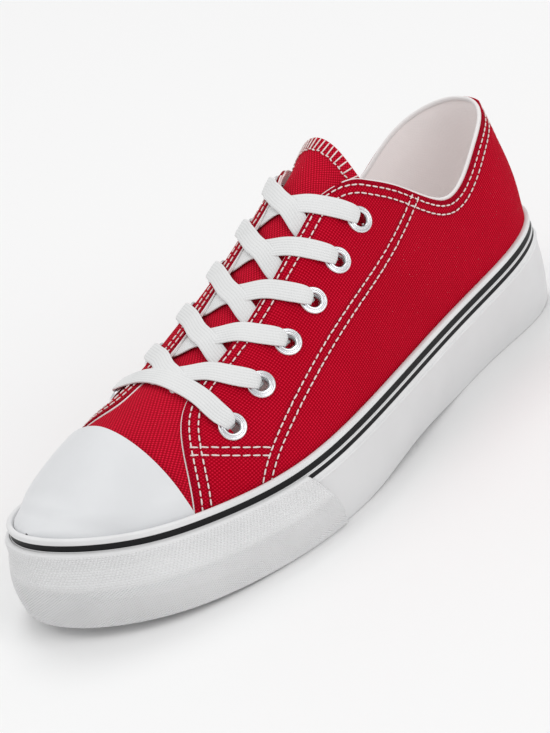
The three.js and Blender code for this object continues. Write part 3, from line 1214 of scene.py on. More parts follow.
@dataclass
class Sole:
    """Outsole and foxing."""

    last: Last
    bench: Bench
    turns: int = 300
    border: float = 8.0
    tread_depth: float = 2.0
    groove: float = 3.0
    wall_rows: int = 13
    foot_edge: float = 1.6
    tuck: float = 5.0
    bed_thickness: float = 3.0
    bar_thickness: float = 2.4
    bar_edge: float = 0.35
    bar_row: float = 8.0
    girth: float = 640.0
    pitch: float = 11.0
    wave: float = 22.0
    amplitude: float = 5.0
    zones: tuple[tuple[float, float], ...] = ((0.10, 0.40), (0.72, 0.94))

    def ring(self, name: str, profile: Callable[[Array], Array]) -> Piece:
        """A closed ring round the shoe.

        Args:
            name: The piece's name.
            profile: Gives, for an array of places along the shoe, the section's points as
                (outward, height), shaped (places, points, 2).

        Returns:
            The ring.
        """
        turn = np.linspace(0, 2 * math.pi, self.turns + 1)
        along = (1 - np.cos(turn)) / 2
        section = profile(along)
        count = section.shape[1]
        looped = np.concatenate([section, section[:, :1]], axis=1)

        def index(u: Array, v: Array) -> tuple[Array, Array]:
            """Turn and section point of each grid point."""
            return np.rint(u * self.turns).astype(int), np.rint(v * count).astype(int)

        def place(u: Array, v: Array) -> Array:
            """Points of the ring.

            Args:
                u: Share of the way round the toe.
                v: Share of the section's outline.

            Returns:
                The points.
            """
            i, j = index(u, v)
            chosen = looped[i, j]
            return np.concatenate([self.last.outline(turn[i], chosen[:, 0]), chosen[:, 1:]], axis=1)

        def threads(u: Array, v: Array) -> Array:
            """Distance round the shoe, and depth below the rim."""
            i, j = index(u, v)
            return np.stack([u * self.girth, self.last.rim(along[i]) - looped[i, j, 1]], -1)

        return self.bench.weld(self.bench.grid(name, self.turns, count, place, threads))

    def build_foxing(self) -> Piece:
        """The side band: rounded lip, inlaid lines, and a bead at its foot.

        Returns:
            The band.
        """
        corners = (
            *((-1.9, -10.2), (-2.4, -1.6), (-2.0, 0.1), (-1.0, 0.3)),  # back and lip
            *((0.15, 0.0), (0.15, -1.9), (-0.1, -2.1), (-0.06, -4.7)),  # upper line
            *((0.22, -4.85), (0.2, -5.0), (0.08, -5.15), (0.24, -5.3)),  # ridge and groove
            *((0.26, -5.75), (0.04, -5.9), (0.06, -7.5), (0.36, -7.7)),  # lower line
            *((0.42, -9.2), (1.0, -9.6), (1.1, -10.2), (0.6, -10.6)),  # bead
        )
        loop = rounded_loop(corners[::-1], radius=0.55, steps=4)

        def profile(along: Array) -> Array:
            """The band's section, hung from the rim.

            Args:
                along: Places along the shoe.

            Returns:
                One section for each place.
            """
            section = np.repeat(loop[None], len(along), axis=0)
            section[..., 1] += self.last.rim(along)[:, None]
            return section

        piece = self.ring("foxing_band", profile)
        self.bench.shade(piece, 35)
        return self.bench.settle(piece, BAND_RUBBER, "white_rubber", "foxing")

    def build_outsole(self) -> Piece:
        """The platform's wall and border, the bed inside it and the tread's bars.

        Returns:
            The outsole.
        """
        shares = np.linspace(0, 1, self.wall_rows)

        def profile(along: Array) -> Array:
            """Down the wall, round the foot edge, in under the border and up inside it.

            Args:
                along: Places along the shoe.

            Returns:
                One section for each place.
            """
            top = self.last.shoulder(along)[:, None]
            floor = self.last.floor_line(along)[:, None]
            z = top + (floor + self.foot_edge - top) * shares[None]
            side = self.last.side_offset(along[:, None], z)
            foot = side[:, -1:]
            bottom = [(foot - 0.15, floor + 0.8), (foot - 0.55, floor + 0.2), (foot - 1.3, floor)]
            border = np.full_like(foot, -self.border)
            recess = floor + self.tread_depth
            hidden = border - self.tuck
            inner = [(border, floor), (border, recess), (hidden, recess), (hidden, top)]
            wall = np.stack([side, z], -1)
            rest = np.stack([np.concatenate(pair, axis=1) for pair in bottom + inner], axis=1)
            return np.concatenate([wall, rest], axis=1)[:, ::-1]

        wall = self.ring("outsole_wall", profile)
        piece = self.bench.join([wall, self.build_bed(), *self.build_bars()], "outsole_platform")
        self.bench.shade(piece, 35)
        return self.bench.settle(piece, WHITE_RUBBER, "white_rubber", "outsole")

    def inner_edges(self, y: Array, margin: float) -> tuple[Array, Array]:
        """The X of the border's inner edge on the inner and outer side of the shoe at some Y.

        Args:
            y: Distances along the shoe.
            margin: How far inside the outline.

        Returns:
            X on the inner and on the outer side.
        """
        turn = np.linspace(0.02, math.pi - 0.02, 200)
        outer = self.last.outline(turn, np.full_like(turn, -margin))
        inner = self.last.outline(2 * math.pi - turn, np.full_like(turn, -margin))
        return np.interp(y, inner[:, 1], inner[:, 0]), np.interp(y, outer[:, 1], outer[:, 0])

    def build_bed(self) -> Piece:
        """The recessed sheet between the borders.

        Returns:
            The sheet.
        """
        reach = self.last.length / 2 - self.border - 0.5

        def place(u: Array, v: Array) -> Array:
            """Points of the sheet's underside.

            Args:
                u: Share of the width.
                v: 0 at the toe to 1 at the heel.

            Returns:
                The points.
            """
            y = reach * (2 * v - 1)
            left, right = self.inner_edges(y, self.border + 1)
            height = self.last.floor_line(self.last.along_at(y)) + self.tread_depth
            return np.stack([right + (left - right) * u, y, height], -1)

        return self.bench.thicken(self.bench.grid("outsole_bed", 8, 120, place), self.bed_thickness)

    def build_bars(self) -> list[Piece]:
        """The wavy bars of the tread, and the plain plates before, between and behind them.

        Returns:
            The bars, from toe to heel.
        """
        cuts: list[float] = []
        for start, end in self.zones:
            cuts += list(np.arange(self.last.lengthwise(start), self.last.lengthwise(end), self.pitch))
        reach = self.last.length / 2 - self.border - 1.0
        spans = list(zip([-reach - self.groove, *cuts], [*cuts, reach]))
        bars = []
        for number, (start, end) in enumerate(spans):
            first = 0.0 if number == 0 else 1.0
            last = 0.0 if number == len(spans) - 1 else 1.0

            def place(u: Array, v: Array) -> Array:
                """Points of one bar's tread face, wavy except at the first and last edge.

                Args:
                    u: Share of the width.
                    v: 0 at the bar's start to 1 at its end.

                Returns:
                    The points.
                """
                y = start + self.groove + (end - start - self.groove) * v
                left, right = self.inner_edges(y, self.border - 0.6)
                x = right + (left - right) * u
                swing = np.abs((x / self.wave) % 1.0 - 0.5) * 4 - 1
                y = y + swing * self.amplitude / 2 * (first + (last - first) * v)
                return np.stack([x, y, self.last.floor_line(self.last.along_at(y))], -1)

            rows = max(1, round((end - start) / self.bar_row))
            bar = self.bench.grid(f"tread_bar_{number}", 48, rows, place)
            bars.append(self.bench.soften(self.bench.thicken(bar, self.bar_thickness), self.bar_edge, 60))
        return bars


@dataclass
class Bumper:
    """The textured strip round the toe."""

    last: Last
    bench: Bench
    below_rim: float = 4.8
    gap: float = 0.3
    thickness: float = 1.7
    end_top: float = -50.0
    end_floor: float = -40.0
    columns: int = 672
    rows: int = 132
    cell: int = 4
    pebble_relief: float = 0.60
    diamond_relief: float = 0.55
    corner: float = 2.2
    tail: int = 8
    half_run: float = 173.6
    end_rounding: float = 1.5
    map_size: tuple[float, float] = (280.0, 60.0)

    def texture(self, column: Array, row: Array) -> Array:
        """Height of the moulded texture, whose cells are a whole number of faces wide and high.

        Args:
            column: Faces round the toe.
            row: Faces below the strip's top edge.

        Returns:
            Millimetres of relief: pebbles above, crossed diagonal ribs below.
        """
        course = np.floor(row / self.cell)
        across = ((column + self.cell / 2 * (course % 2)) % self.cell) / self.cell - 0.5
        down = row / self.cell - course - 0.5
        pebbles = unit(1 - 7 * (across**2 + down**2))
        one = np.abs(((column + row) / self.cell) % 1.0 - 0.5) * 2
        two = np.abs(((column - row) / self.cell) % 1.0 - 0.5) * 2
        diamonds = 1 - np.maximum(one, two)
        share = row / self.rows
        blend = smooth((share - 0.34) / 0.16)
        edge = smooth(share / 0.05) * smooth((1 - share) / 0.04)
        mixed = self.pebble_relief * pebbles * (1 - blend) + self.diamond_relief * diamonds * blend
        return edge * mixed

    def even_turns(self, end: float) -> Array:
        """Turns round the toe at even distances along the outline, from one side's end to the other's.

        Args:
            end: The turn at the outer end.

        Returns:
            One turn more than the strip has columns.
        """
        turn = np.linspace(-end, end, 2000)
        run = run_along(self.last.outline(turn, self.gap))
        return np.interp(np.linspace(0, run[-1], self.columns + 1), run, turn)

    def build(self) -> Piece:
        """The strip, closed at its slanted ends.

        Returns:
            The strip.
        """
        last = self.last
        end_turn = self.turn_at(self.end_floor)
        top_turn = self.turn_at(self.end_top)
        spaced = self.even_turns(end_turn)[::-1] / end_turn

        def place(u: Array, v: Array) -> Array:
            """Points down the textured face, then up the plain back.

            Args:
                u: Share of the way round the toe.
                v: Share of the way down the face and up the back.

            Returns:
                The points.
            """
            j = np.rint(v * (self.rows + self.tail)).astype(int)
            outer = j <= self.rows
            share = np.where(outer, j / self.rows, 1 - unit((j - self.rows - 2) / (self.tail - 4)))
            slant = 1 - (1 - share) ** self.corner
            reach = top_turn + (end_turn - top_turn) * slant
            column = np.rint(u * self.columns).astype(int)
            turn = reach * spaced[column]
            along = (1 - np.cos(turn)) / 2
            top = last.rim(along) - self.below_rim
            floor = last.floor_line(along)
            z = top + (floor - top) * share
            crown = np.minimum(smooth((top - z) / 1.0 + 0.35), smooth((z - floor) / 1.8 + 0.25))
            ends = smooth((1 - np.abs(1 - 2 * u)) * self.half_run / self.end_rounding + 0.3)
            proud = np.where(outer, self.thickness * crown * ends + self.texture(column, j) * ends, 0)
            flat = last.outline(turn, last.side_offset(along, z) + self.gap + proud)
            return np.concatenate([flat, z[:, None]], axis=1)

        def threads(u: Array, v: Array) -> Array:
            """Round the toe and down the strip."""
            return np.stack([u * self.map_size[0], v * self.map_size[1]], -1)

        piece = self.bench.grid("bumper_strip", self.columns, self.rows + self.tail, place, threads)
        self.bench.weld(piece, close_ends=True)
        self.bench.shade(piece, 60)
        return self.bench.settle(piece, BUMPER_RUBBER, "textured_rubber", "toe_bumper")

    def turn_at(self, y: float) -> float:
        """The turn round the outline at which the rim has a given Y on the outer side."""
        return math.acos(1 - 2 * float(self.last.along_at(y)))


# ---- Upper --------------------------------------------------------------------------------


class Trace(NamedTuple):
    """A line on the cloth: points in millimetres, with the cloth's normals there."""

    points: Array
    normals: Array


@dataclass
class Seams:
    """Where the quarters are sewn."""

    last: Last
    edge_rows: tuple[float, float] = (1.5, 4.9)
    front_spread: float = 1.3
    collar_spread: float = 0.7
    row_gap: float = 3.3
    collar_margin: float = 0.8
    eyestay_span: tuple[float, float] = (0.255, 0.76)
    eyestay_aside: tuple[float, float] = (44.0, 27.0)
    eyestay_bow: float = 1.5
    bar_start: tuple[float, float] = (0.195, 31.0)
    bar_end: tuple[float, float] = (0.285, 43.0)
    bar_bow: float = 1.2
    bar_gap: float = 3.0
    sunk: float = -0.1
    edge_stitch: float = 3.0
    eyestay_stitch: float = 3.1
    bar_stitch: float = 3.8

    @staticmethod
    def even(points: Array, values: Array, step: float = 0.5) -> Array:
        """Values at even distances along a line of points."""
        run = run_along(points)
        return np.interp(np.arange(0, run[-1], step), run, values)

    @staticmethod
    def turned(angle: Array, side: Side) -> Array:
        """An outer-side angle, turned over for the inner side."""
        return angle if side is Side.LATERAL else math.pi - angle

    def edge(self, side: Side, start: float, end: float, inward: float, lift: float) -> Trace:
        """A line parallel to a quarter's upper edge.

        Args:
            side: Which quarter.
            start: Where along the shoe it starts.
            end: Where it ends.
            inward: Millimetres in from the edge.
            lift: Millimetres off the canvas.

        Returns:
            The line, with points every half millimetre.
        """
        along = np.linspace(start, end, 4000)
        edge = self.last.point(along, self.turned(self.last.quarter_top(along, side), side))
        along = self.even(edge, along)
        angle = self.turned(self.last.quarter_top(along, side), side)
        edge = self.last.point(along, angle)
        normal = self.last.normal(along, angle)
        tangent = normalised(smooth_rows(np.gradient(edge, axis=0)))
        across = normalised(np.cross(normal, tangent)) * -side.value
        if inward > 0:
            spread = self.front_spread * smooth((0.32 - along) / 0.08)
            inward = inward + (spread + self.collar_spread * smooth((along - 0.62) / 0.03))[:, None]
        return Trace(edge + across * inward + normal * lift, normal)

    def placed(self, along: Array, aside: Array, side: Side, lift: float) -> Trace:
        """A line through given places on a quarter, with points every half millimetre.

        Args:
            along: Places along the shoe.
            aside: Millimetres from the centre line.
            side: Which quarter.
            lift: Millimetres off the canvas.

        Returns:
            The line.
        """
        angle = self.last.angle_at(along, aside)
        rough = self.last.point(along, self.turned(angle, side))
        index = self.even(rough, np.arange(len(along), dtype=float))
        along = np.interp(index, np.arange(len(along)), along)
        angle = self.turned(np.interp(index, np.arange(len(angle)), angle), side)
        normal = self.last.normal(along, angle)
        return Trace(self.last.point(along, angle) + normal * lift, normal)

    @staticmethod
    def beside(trace: Trace, distance: float) -> Trace:
        """A line beside another, on its left as seen from outside.

        Args:
            trace: The line.
            distance: How far beside it.

        Returns:
            The second line.
        """
        tangent = normalised(smooth_rows(np.gradient(trace.points, axis=0)))
        across = normalised(np.cross(trace.normals, tangent))
        return Trace(trace.points + across * distance, trace.normals)

    def eyestay(self, side: Side, lift: float) -> list[Trace]:
        """The double seam from the sole up to the collar, behind the eyelets.

        Args:
            side: Which quarter.
            lift: Millimetres off the canvas.

        Returns:
            The two lines.
        """
        low, high = self.eyestay_span
        foot, top = self.eyestay_aside
        share = np.linspace(0, 1, 600)
        aside = foot + (top - foot) * share - self.eyestay_bow * np.sin(math.pi * share)
        front = self.placed(low + (high - low) * share, aside, side, lift)
        return [self.under_collar(row) for row in (front, self.beside(front, -self.row_gap * side.value))]

    def under_collar(self, trace: Trace) -> Trace:
        """The part of a line that lies below the collar's edge.

        Args:
            trace: The line.

        Returns:
            What is left of it.
        """
        top = self.last.collar_height(self.last.along_at(trace.points[:, 1]))
        front = trace.points[:, 1] < self.last.lengthwise(self.last.collar_front)
        kept = front | (trace.points[:, 2] < top - self.collar_margin)
        return Trace(trace.points[kept], trace.normals[kept])

    def bar(self, side: Side, lift: float) -> list[Trace]:
        """The double seam across the quarter below the lowest eyelet.

        Args:
            side: Which quarter.
            lift: Millimetres off the canvas.

        Returns:
            The two lines.
        """
        share = np.linspace(0, 1, 60)
        along = self.bar_start[0] + (self.bar_end[0] - self.bar_start[0]) * share
        aside = self.bar_start[1] + (self.bar_end[1] - self.bar_start[1]) * share
        aside = aside + self.bar_bow * np.sin(math.pi * share)
        low = self.placed(along, aside, side, lift)
        return [low, self.beside(low, self.bar_gap * side.value)]

    def rows(self, side: Side, lift: float) -> list[tuple[Trace, float]]:
        """Every row of stitches on a quarter, with its stitch length.

        Args:
            side: Which quarter.
            lift: Millimetres off the canvas.

        Returns:
            Lines and stitch lengths.
        """
        start = QUARTER_EDGE[side].foot + 0.001
        edges = [self.edge(side, start, HEEL_SEAM, inward, lift) for inward in self.edge_rows]
        found = [(trace, self.edge_stitch) for trace in edges]
        found += [(trace, self.eyestay_stitch) for trace in self.eyestay(side, lift)]
        found += [(trace, self.bar_stitch) for trace in self.bar(side, lift)]
        return found


@dataclass
class Upper:
    """Vamp, quarters, tongue, lining and toe cap."""

    last: Last
    bench: Bench
    seams: Seams
    canvas: float = 1.0
    lining: float = 0.8
    lining_gap: float = 0.12
    lining_columns: int = 300
    lining_rows: int = 40
    vamp_span: tuple[float, float] = (0.10, 0.262)
    vamp_drop: float = 1.1
    vamp_thickness: float = 0.9
    columns: int = 400
    rows: int = 80
    cap_end: float = 0.160
    cap_end_at_foot: float = 0.154
    cap_lift: float = 1.5
    cap_front: float = 7.5
    cap_under_lip: float = 0.2
    cap_fade: float = 7.0
    cap_thickness: float = 1.3
    tongue_depth_at_edge: float = 3.9
    tongue_crown: float = 1.5
    tongue_ripple: float = 0.25
    tongue_thickness: float = 1.6
    tongue_start: float = 0.22
    tongue_end: float = 0.67
    tongue_rise: float = 0.004
    tongue_corner: float = 0.012
    tongue_sag: tuple[float, float] = (2.6, 0.8)
    tongue_half: float = 29.0
    tongue_free_from: float = 0.59
    overlock_depth: float = 5.5
    overlock_bars: int = 24
    tongue_root: float = 22.0
    grain: float = math.radians(30)
    pinch: float = 0.3
    holes: Sequence[tuple[Array, Array]] = ()
    hole_radius: float = 3.4
    stay_half: float = 10.0
    stay_lift: float = 0.75
    stay_margin: float = 1.6
    stay_stitch: float = 3.0
    stay_thickness: float = 0.7
    edge_radius: float = 0.38
    piping_size: tuple[float, float] = (0.25, 0.45)
    insole_gap: tuple[float, float] = (0.4, 0.3)
    insole_height: float = 1.5
    insole_dish: float = 1.0
    insole_thickness: float = 2.2

    def quarter_columns(self, side: Side, count: int) -> Array:
        """Places along the shoe, spaced evenly along the quarter's upper edge.

        Args:
            side: Which quarter.
            count: Faces along its edge.

        Returns:
            One place more than faces.
        """
        along = np.linspace(QUARTER_EDGE[side].foot + 5e-4, 1.0, 4000)
        edge = self.last.point(along, self.last.quarter_top(along, side))
        run = run_along(edge)
        return np.interp(np.linspace(0, run[-1], count + 1), run, along)

    def on_quarter(self, side: Side, count: int) -> Spot:
        """Spreads a grid over a quarter.

        Args:
            side: Which quarter.
            count: Faces along its upper edge.

        Returns:
            A function that gives place along the shoe and angle for the grid's u and v.
        """
        columns = self.quarter_columns(side, count)
        tops = self.last.quarter_top(columns, side)

        def where(u: Array, v: Array) -> tuple[Array, Array]:
            """Place and angle, from the foot edge up on the outer side and down on the inner.

            Args:
                u: Share of the quarter's columns.
                v: Share over the section.

            Returns:
                Places along the shoe, and angles.
            """
            i = np.rint(u * count).astype(int)
            share = v if side is Side.LATERAL else 1 - v
            return columns[i], self.seams.turned(tops[i] * share, side)

        return where

    @staticmethod
    def over_section(share: Array) -> Array:
        """Angles over a whole section, just clear of both foot edges."""
        return math.pi * (FOOT_GAP + (1 - 2 * FOOT_GAP) * share)

    def grained(self, along: Array, angle: Array, side: Side) -> Array:
        """Thread coordinates of a quarter, whose cloth is cut at a slant to the sole.

        Args:
            along: Places along the shoe.
            angle: Angles over the section.
            side: Which quarter.

        Returns:
            A pair for each place.
        """
        flat = self.last.threads(along, angle)
        turn = -self.grain * side.value
        cos, sin = math.cos(turn), math.sin(turn)
        return np.stack([flat[:, 0] * cos + flat[:, 1] * sin, flat[:, 1] * cos - flat[:, 0] * sin], -1)

    def build_quarter(self, side: Side) -> Piece:
        """One quarter: from its front edge beside the toe cap back to the heel seam.

        Args:
            side: Which quarter.

        Returns:
            The quarter.
        """
        where = self.on_quarter(side, self.columns)
        to_seam = distance_to(np.concatenate([trace.points for trace, _ in self.seams.rows(side, 0.0)]))
        to_fold = distance_to(self.seams.edge(side, self.cap_end, HEEL_SEAM, 0.0, 0.0).points)

        def place(u: Array, v: Array) -> Array:
            """Points of the outer face: a slight sway, drawn in at the seams and beside the cap.

            Args:
                u: Share of the quarter's columns.
                v: Share over the section.

            Returns:
                The points.
            """
            along, angle = where(u, v)
            bare = self.last.point(along, angle)
            y = self.last.lengthwise(along)
            height = bare[:, 2] - self.last.seat(along)
            sway = 0.25 * np.sin(y / 11.0 + height / 9.0) * smooth((height - 8) / 16)
            sunk = 0.5 * (1 - smooth((along - 0.15) / 0.05))
            pinch = self.pinch * np.exp(-((to_seam(bare) / 0.75) ** 2))
            return bare + (sway - sunk - pinch)[:, None] * self.last.normal(along, angle)

        def threads(u: Array, v: Array) -> Array:
            """Thread coordinates, on the slant."""
            return self.grained(*where(u, v), side)

        piece = self.bench.grid(f"quarter_{side.name.lower()}", self.columns, self.rows, place, threads)
        points = self.last.millimetres(self.bench.read(piece.data.vertices, "co"))
        # The "seam" attribute carries painted shade: darkest beside the stitch rows and along the folded
        # upper edge.
        seam = piece.data.attributes.new("seam", "FLOAT", "POINT")
        seam_shade = 1 - smooth((to_seam(points) - 0.5) / 1.2)
        fold_shade = 1 - smooth((to_fold(points) - 1.1) / 1.3)
        seam.data.foreach_set("value", np.maximum(seam_shade * 0.6, fold_shade))
        self.bench.drill(piece, self.holes, self.hole_radius)
        self.bench.thicken(piece, self.canvas)
        self.bench.weld(piece)
        self.bench.shade(piece, 50)
        return self.bench.settle(piece, RED_CANVAS, "canvas", "upper")

    def build_vamp(self) -> Piece:
        """The toe canvas, under the toe cap and the quarters, as far as the lowest eyelets.

        Returns:
            The vamp.
        """
        start, end = self.vamp_span

        def where(u: Array, v: Array) -> tuple[Array, Array]:
            """Place along the shoe, and angle."""
            return start + (end - start) * u, self.over_section(v)

        def place(u: Array, v: Array) -> Array:
            """Points of the outer face, slightly uneven.

            Args:
                u: Share of the vamp's length.
                v: Share over the section.

            Returns:
                The points.
            """
            along, angle = where(u, v)
            sway = 0.3 * np.sin(along * 60) * np.sin(angle * 5)
            return self.last.lifted(along, angle, sway - self.vamp_drop)

        piece = self.bench.grid("vamp", 60, 160, place, lambda u, v: self.last.threads(*where(u, v)))
        self.bench.thicken(piece, self.vamp_thickness)
        self.bench.shade(piece, 50)
        return self.bench.settle(piece, LIT_VAMP_CANVAS, "canvas", "upper")

    def tongue_depth(self, aside: Array, along: Array) -> Array:
        """How deep the tongue lies under the canvas: crowned between the facings.

        Args:
            aside: Millimetres from the centre line.
            along: Places along the shoe.

        Returns:
            Millimetres.
        """
        off_centre = (aside - self.last.throat_centre) ** 2
        crown = self.tongue_crown * np.exp(-off_centre / 160.0)
        ripple = self.tongue_ripple * np.sin(along * 95) * np.exp(-off_centre / 200.0)
        return self.tongue_depth_at_edge - crown - ripple - 1.0 * smooth((along - 0.6) / 0.06)

    def tongue_where(self, u: Array, across: Array) -> tuple[Array, Array]:
        """Place along the shoe, and distance from its centre line, of a point of the tongue.

        Args:
            u: 0 at the root to 1 at the top.
            across: -1 on the inner to 1 on the outer side.

        Returns:
            Both, for each point.
        """
        corner = self.tongue_corner * unit(np.abs(across) * 7 - 6) ** 2
        end = self.tongue_end + self.tongue_rise * across**2 - corner
        along = self.tongue_start + (end - self.tongue_start) * u
        width = self.tongue_root + (self.tongue_half - self.tongue_root) * smooth(u * 2)
        return along, self.last.throat_centre + across * width

    def on_tongue(self, u: Array, across: Array, lift: float) -> Trace:
        """Points "lift" above the tongue's outer face.

        Args:
            u: 0 at the root to 1 at the top.
            across: -1 on the inner to 1 on the outer side.
            lift: Millimetres.

        Returns:
            The points, with the normals there.
        """
        along, aside = self.tongue_where(u, across)
        angle = self.last.angle_at(along, aside)
        out = unit(np.sqrt(across**2 + 0.02))
        outer, inner = self.tongue_sag
        deepest = inner + (outer - inner) * smooth(across * 3 + 0.5)
        sag = deepest * 4 * out * (1 - out) * smooth((along - self.tongue_free_from) / 0.05)
        depth = self.tongue_depth(aside, along) + sag - lift
        return Trace(self.last.lifted(along, angle, -depth), self.last.normal(along, angle))

    def build_tongue(self) -> Piece:
        """The tongue, from under the vamp to its free top edge.

        Returns:
            The tongue.
        """

        def place(u: Array, v: Array) -> Array:
            """Points of the outer face."""
            return self.on_tongue(u, 1 - 2 * v, 0.0).points

        def threads(u: Array, v: Array) -> Array:
            """Thread coordinates, running with the shoe."""
            along, aside = self.tongue_where(u, 1 - 2 * v)
            return self.last.threads(along, self.last.angle_at(along, aside))

        piece = self.bench.grid("tongue_flap", 160, 72, place, threads)
        self.bench.thicken(piece, self.tongue_thickness)
        self.bench.soften(piece, 0.3)
        self.bench.shade(piece, 50)
        return self.bench.settle(piece, LIT_VAMP_CANVAS, "canvas", "tongue")

    def build_cap(self) -> Piece:
        """The rubber toe cap: thin under the foxing's lip and proud at its rear edge.

        Returns:
            The cap.
        """

        def place(u: Array, v: Array) -> Array:
            """Points of the outer face, grown more the higher they stand above the lip.

            Args:
                u: 0 at the toe to 1 at the rear edge.
                v: Share over the section.

            Returns:
                The points.
            """
            angle = self.over_section(v)
            end = self.cap_end_at_foot + (self.cap_end - self.cap_end_at_foot) * np.sin(angle)
            along = end * np.sin(u * math.pi / 2) ** 2 + 1e-4
            base = self.last.point(along, angle, self.cap_under_lip)
            above = base[:, 2] - self.last.rim(along)
            grown = self.last.point(along, angle, self.cap_lift)
            share = smooth((above + 0.5) / self.cap_fade)[:, None]
            shaped = base * (1 - share) + grown * share
            shaped[:, 2] += self.cap_front * (1 - smooth(along / 0.07)) * np.sin(angle) ** 0.5
            return shaped

        piece = self.bench.grid("toe_cap_shell", 70, 110, place)
        self.bench.thicken(piece, self.cap_thickness)
        self.bench.soften(piece, 0.5, 60)
        self.bench.weld(piece)
        self.bench.shade(piece, 50)
        return self.bench.settle(piece, CAP_RUBBER, "cap_rubber", "toe_cap")

    def build_lining(self) -> Piece:
        """The lining inside both quarters.

        Returns:
            The lining.
        """
        columns, rows = self.lining_columns, self.lining_rows
        parts = []
        for side in Side:
            where = self.on_quarter(side, columns)

            def place(u: Array, v: Array) -> Array:
                """Points just inside the canvas."""
                along, angle = where(u, v)
                return self.last.lifted(along, angle, np.full_like(along, -self.canvas - self.lining_gap))

            name = f"lining_{side.name.lower()}"
            part = self.bench.grid(name, columns, rows, place, lambda u, v: self.last.threads(*where(u, v)))
            self.bench.drill(part, self.holes, self.hole_radius)
            parts.append(self.bench.weld(self.bench.thicken(part, self.lining)))
        piece = self.bench.join(parts, "lining")
        self.bench.shade(piece, 50)
        return self.bench.settle(piece, LINING, "lining_cotton", "upper")

    def build_piping(self) -> Piece:
        """The padded lining edge that rolls up round the collar's opening.

        Returns:
            The rolled edge.
        """
        outer, inner = (self.seams.edge(side, 0.63, HEEL_SEAM, 0.0, 0.0) for side in Side)
        points = np.concatenate([outer.points, inner.points[::-1]])
        normals = smooth_rows(np.concatenate([outer.normals, inner.normals[::-1]]), 9)
        points = smooth_rows(points, 5)[::3]
        normals = normalised(normals[::3])
        rise = normalised(np.cross(tangents(points), normals))
        thin, swell = self.piping_size
        size = thin + swell * np.sin(math.pi * np.linspace(0, 1, len(points))) ** 0.8
        section = circle(14)[None] * np.stack([0.9 * size + 0.2, 1.35 * size + 0.2], -1)[:, None, :]
        path = points - normals * (self.canvas + 0.55 * size + 0.25)[:, None] - rise * 0.25
        piece = self.bench.sweep("collar_piping", path, normals, rise, section)
        self.bench.shade(piece, 60)
        return self.bench.settle(piece, PIPING, "lining_cotton", "upper")

    def stay_where(self, aside: Array, share: Array) -> tuple[Array, Array]:
        """Place and angle of a point of the heel stay, from its distance aside and its share of height.

        Args:
            aside: Millimetres from the heel seam.
            share: 0 at the foot to 1 at the collar.

        Returns:
            Places along the shoe, and angles.
        """
        along = np.full_like(aside, 0.99)
        for _ in range(6):
            angle = self.last.collar_angle(along) * share
            reach = (self.last.half(along) - self.last.inset) * np.cos(angle) ** (2 / self.last.bend(along))
            closing = unit(np.abs(aside) / reach)
            along = np.minimum((1 + np.sqrt(1 - closing**2)) / 2, 0.9998)
        return along, np.where(aside >= 0, angle, math.pi - angle)

    def stay_line(self, aside: float, lift: float) -> Trace:
        """A line up the heel stay.

        Args:
            aside: Millimetres from the heel seam.
            lift: Millimetres off the canvas.

        Returns:
            The line.
        """
        share = np.linspace(0.12, 0.96, 160)
        along, angle = self.stay_where(np.full_like(share, aside), share)
        normal = self.last.normal(along, angle)
        return Trace(self.last.point(along, angle) + normal * lift, normal)

    def stay_rows(self) -> list[tuple[Trace, float]]:
        """The two rows of stitches on the heel stay, each with its stitch length."""
        aside = self.stay_half - self.stay_margin
        return [(self.stay_line(edge * aside, self.stay_lift), self.stay_stitch) for edge in (-1, 1)]

    def build_stay(self) -> Piece:
        """The strip sewn over the heel seam.

        Returns:
            The strip.
        """

        def place(u: Array, v: Array) -> Array:
            """Points of the outer face, thinner towards both edges.

            Args:
                u: Share of the strip's width.
                v: Share of its height.

            Returns:
                The points.
            """
            along, angle = self.stay_where((2 * u - 1) * self.stay_half, v * 0.985)
            edge = smooth((1 - np.abs(2 * u - 1)) * self.stay_half / 0.8)
            return self.last.lifted(along, angle, self.stay_lift * (0.55 + 0.45 * edge))

        def threads(u: Array, v: Array) -> Array:
            """Thread coordinates, across and up the strip."""
            return np.stack([(2 * u - 1) * self.stay_half, v * 60], -1)

        piece = self.bench.grid("heel_stay", 40, 90, place, threads)
        self.bench.weld(piece)
        if sum(face.normal.y for face in piece.data.polygons) < 0:
            self.bench.edit(piece, bpy.ops.mesh.flip_normals)
        self.bench.thicken(piece, self.stay_thickness)
        self.bench.shade(piece, 50)
        return self.bench.settle(piece, STAY_CANVAS, "canvas", "upper")

    def overlock(self) -> list[tuple[Trace, float]]:
        """The edging thread of the tongue's top: a chain below it and slanted bars over the edge.

        Returns:
            Lines and stitch lengths.
        """
        half = 0.93
        across = np.linspace(-half, half, 300)
        low = 1 - self.overlock_depth / (self.last.length * (self.tongue_end - self.tongue_start))
        wave = 0.0022 * np.sin(across * math.pi * self.overlock_bars / 2)
        rows = [(self.on_tongue(low + wave, across, 0.25), 2.2)]
        slant = 0.35 * 2 / self.overlock_bars
        for number in range(self.overlock_bars):
            at = -half + 2 * half * (number + 0.5) / self.overlock_bars
            share = np.linspace(0, 1, 12)
            trace = self.on_tongue(low + (0.999 - low) * share, at + slant * (share - 0.5) * 2, 0.22)
            rows.append((trace, self.overlock_depth + 0.6))
        return rows

    def build_front_edges(self) -> Piece:
        """The thin light edge that shows in front of each quarter and along the facings.

        Returns:
            Both edges as one piece.
        """
        parts = []
        section = circle(8) * self.edge_radius
        for side in Side:
            trace = self.seams.edge(side, 0.152, 0.62, -0.12, -0.95)
            across = normalised(np.cross(tangents(trace.points), trace.normals))
            name = f"facing_edge_{side.name.lower()}"
            parts.append(self.bench.sweep(name, trace.points, across, trace.normals, section))
        piece = self.bench.join(parts, "facing_edges")
        self.bench.shade(piece, 60)
        return self.bench.settle(piece, PIPING, "lining_cotton", "upper")

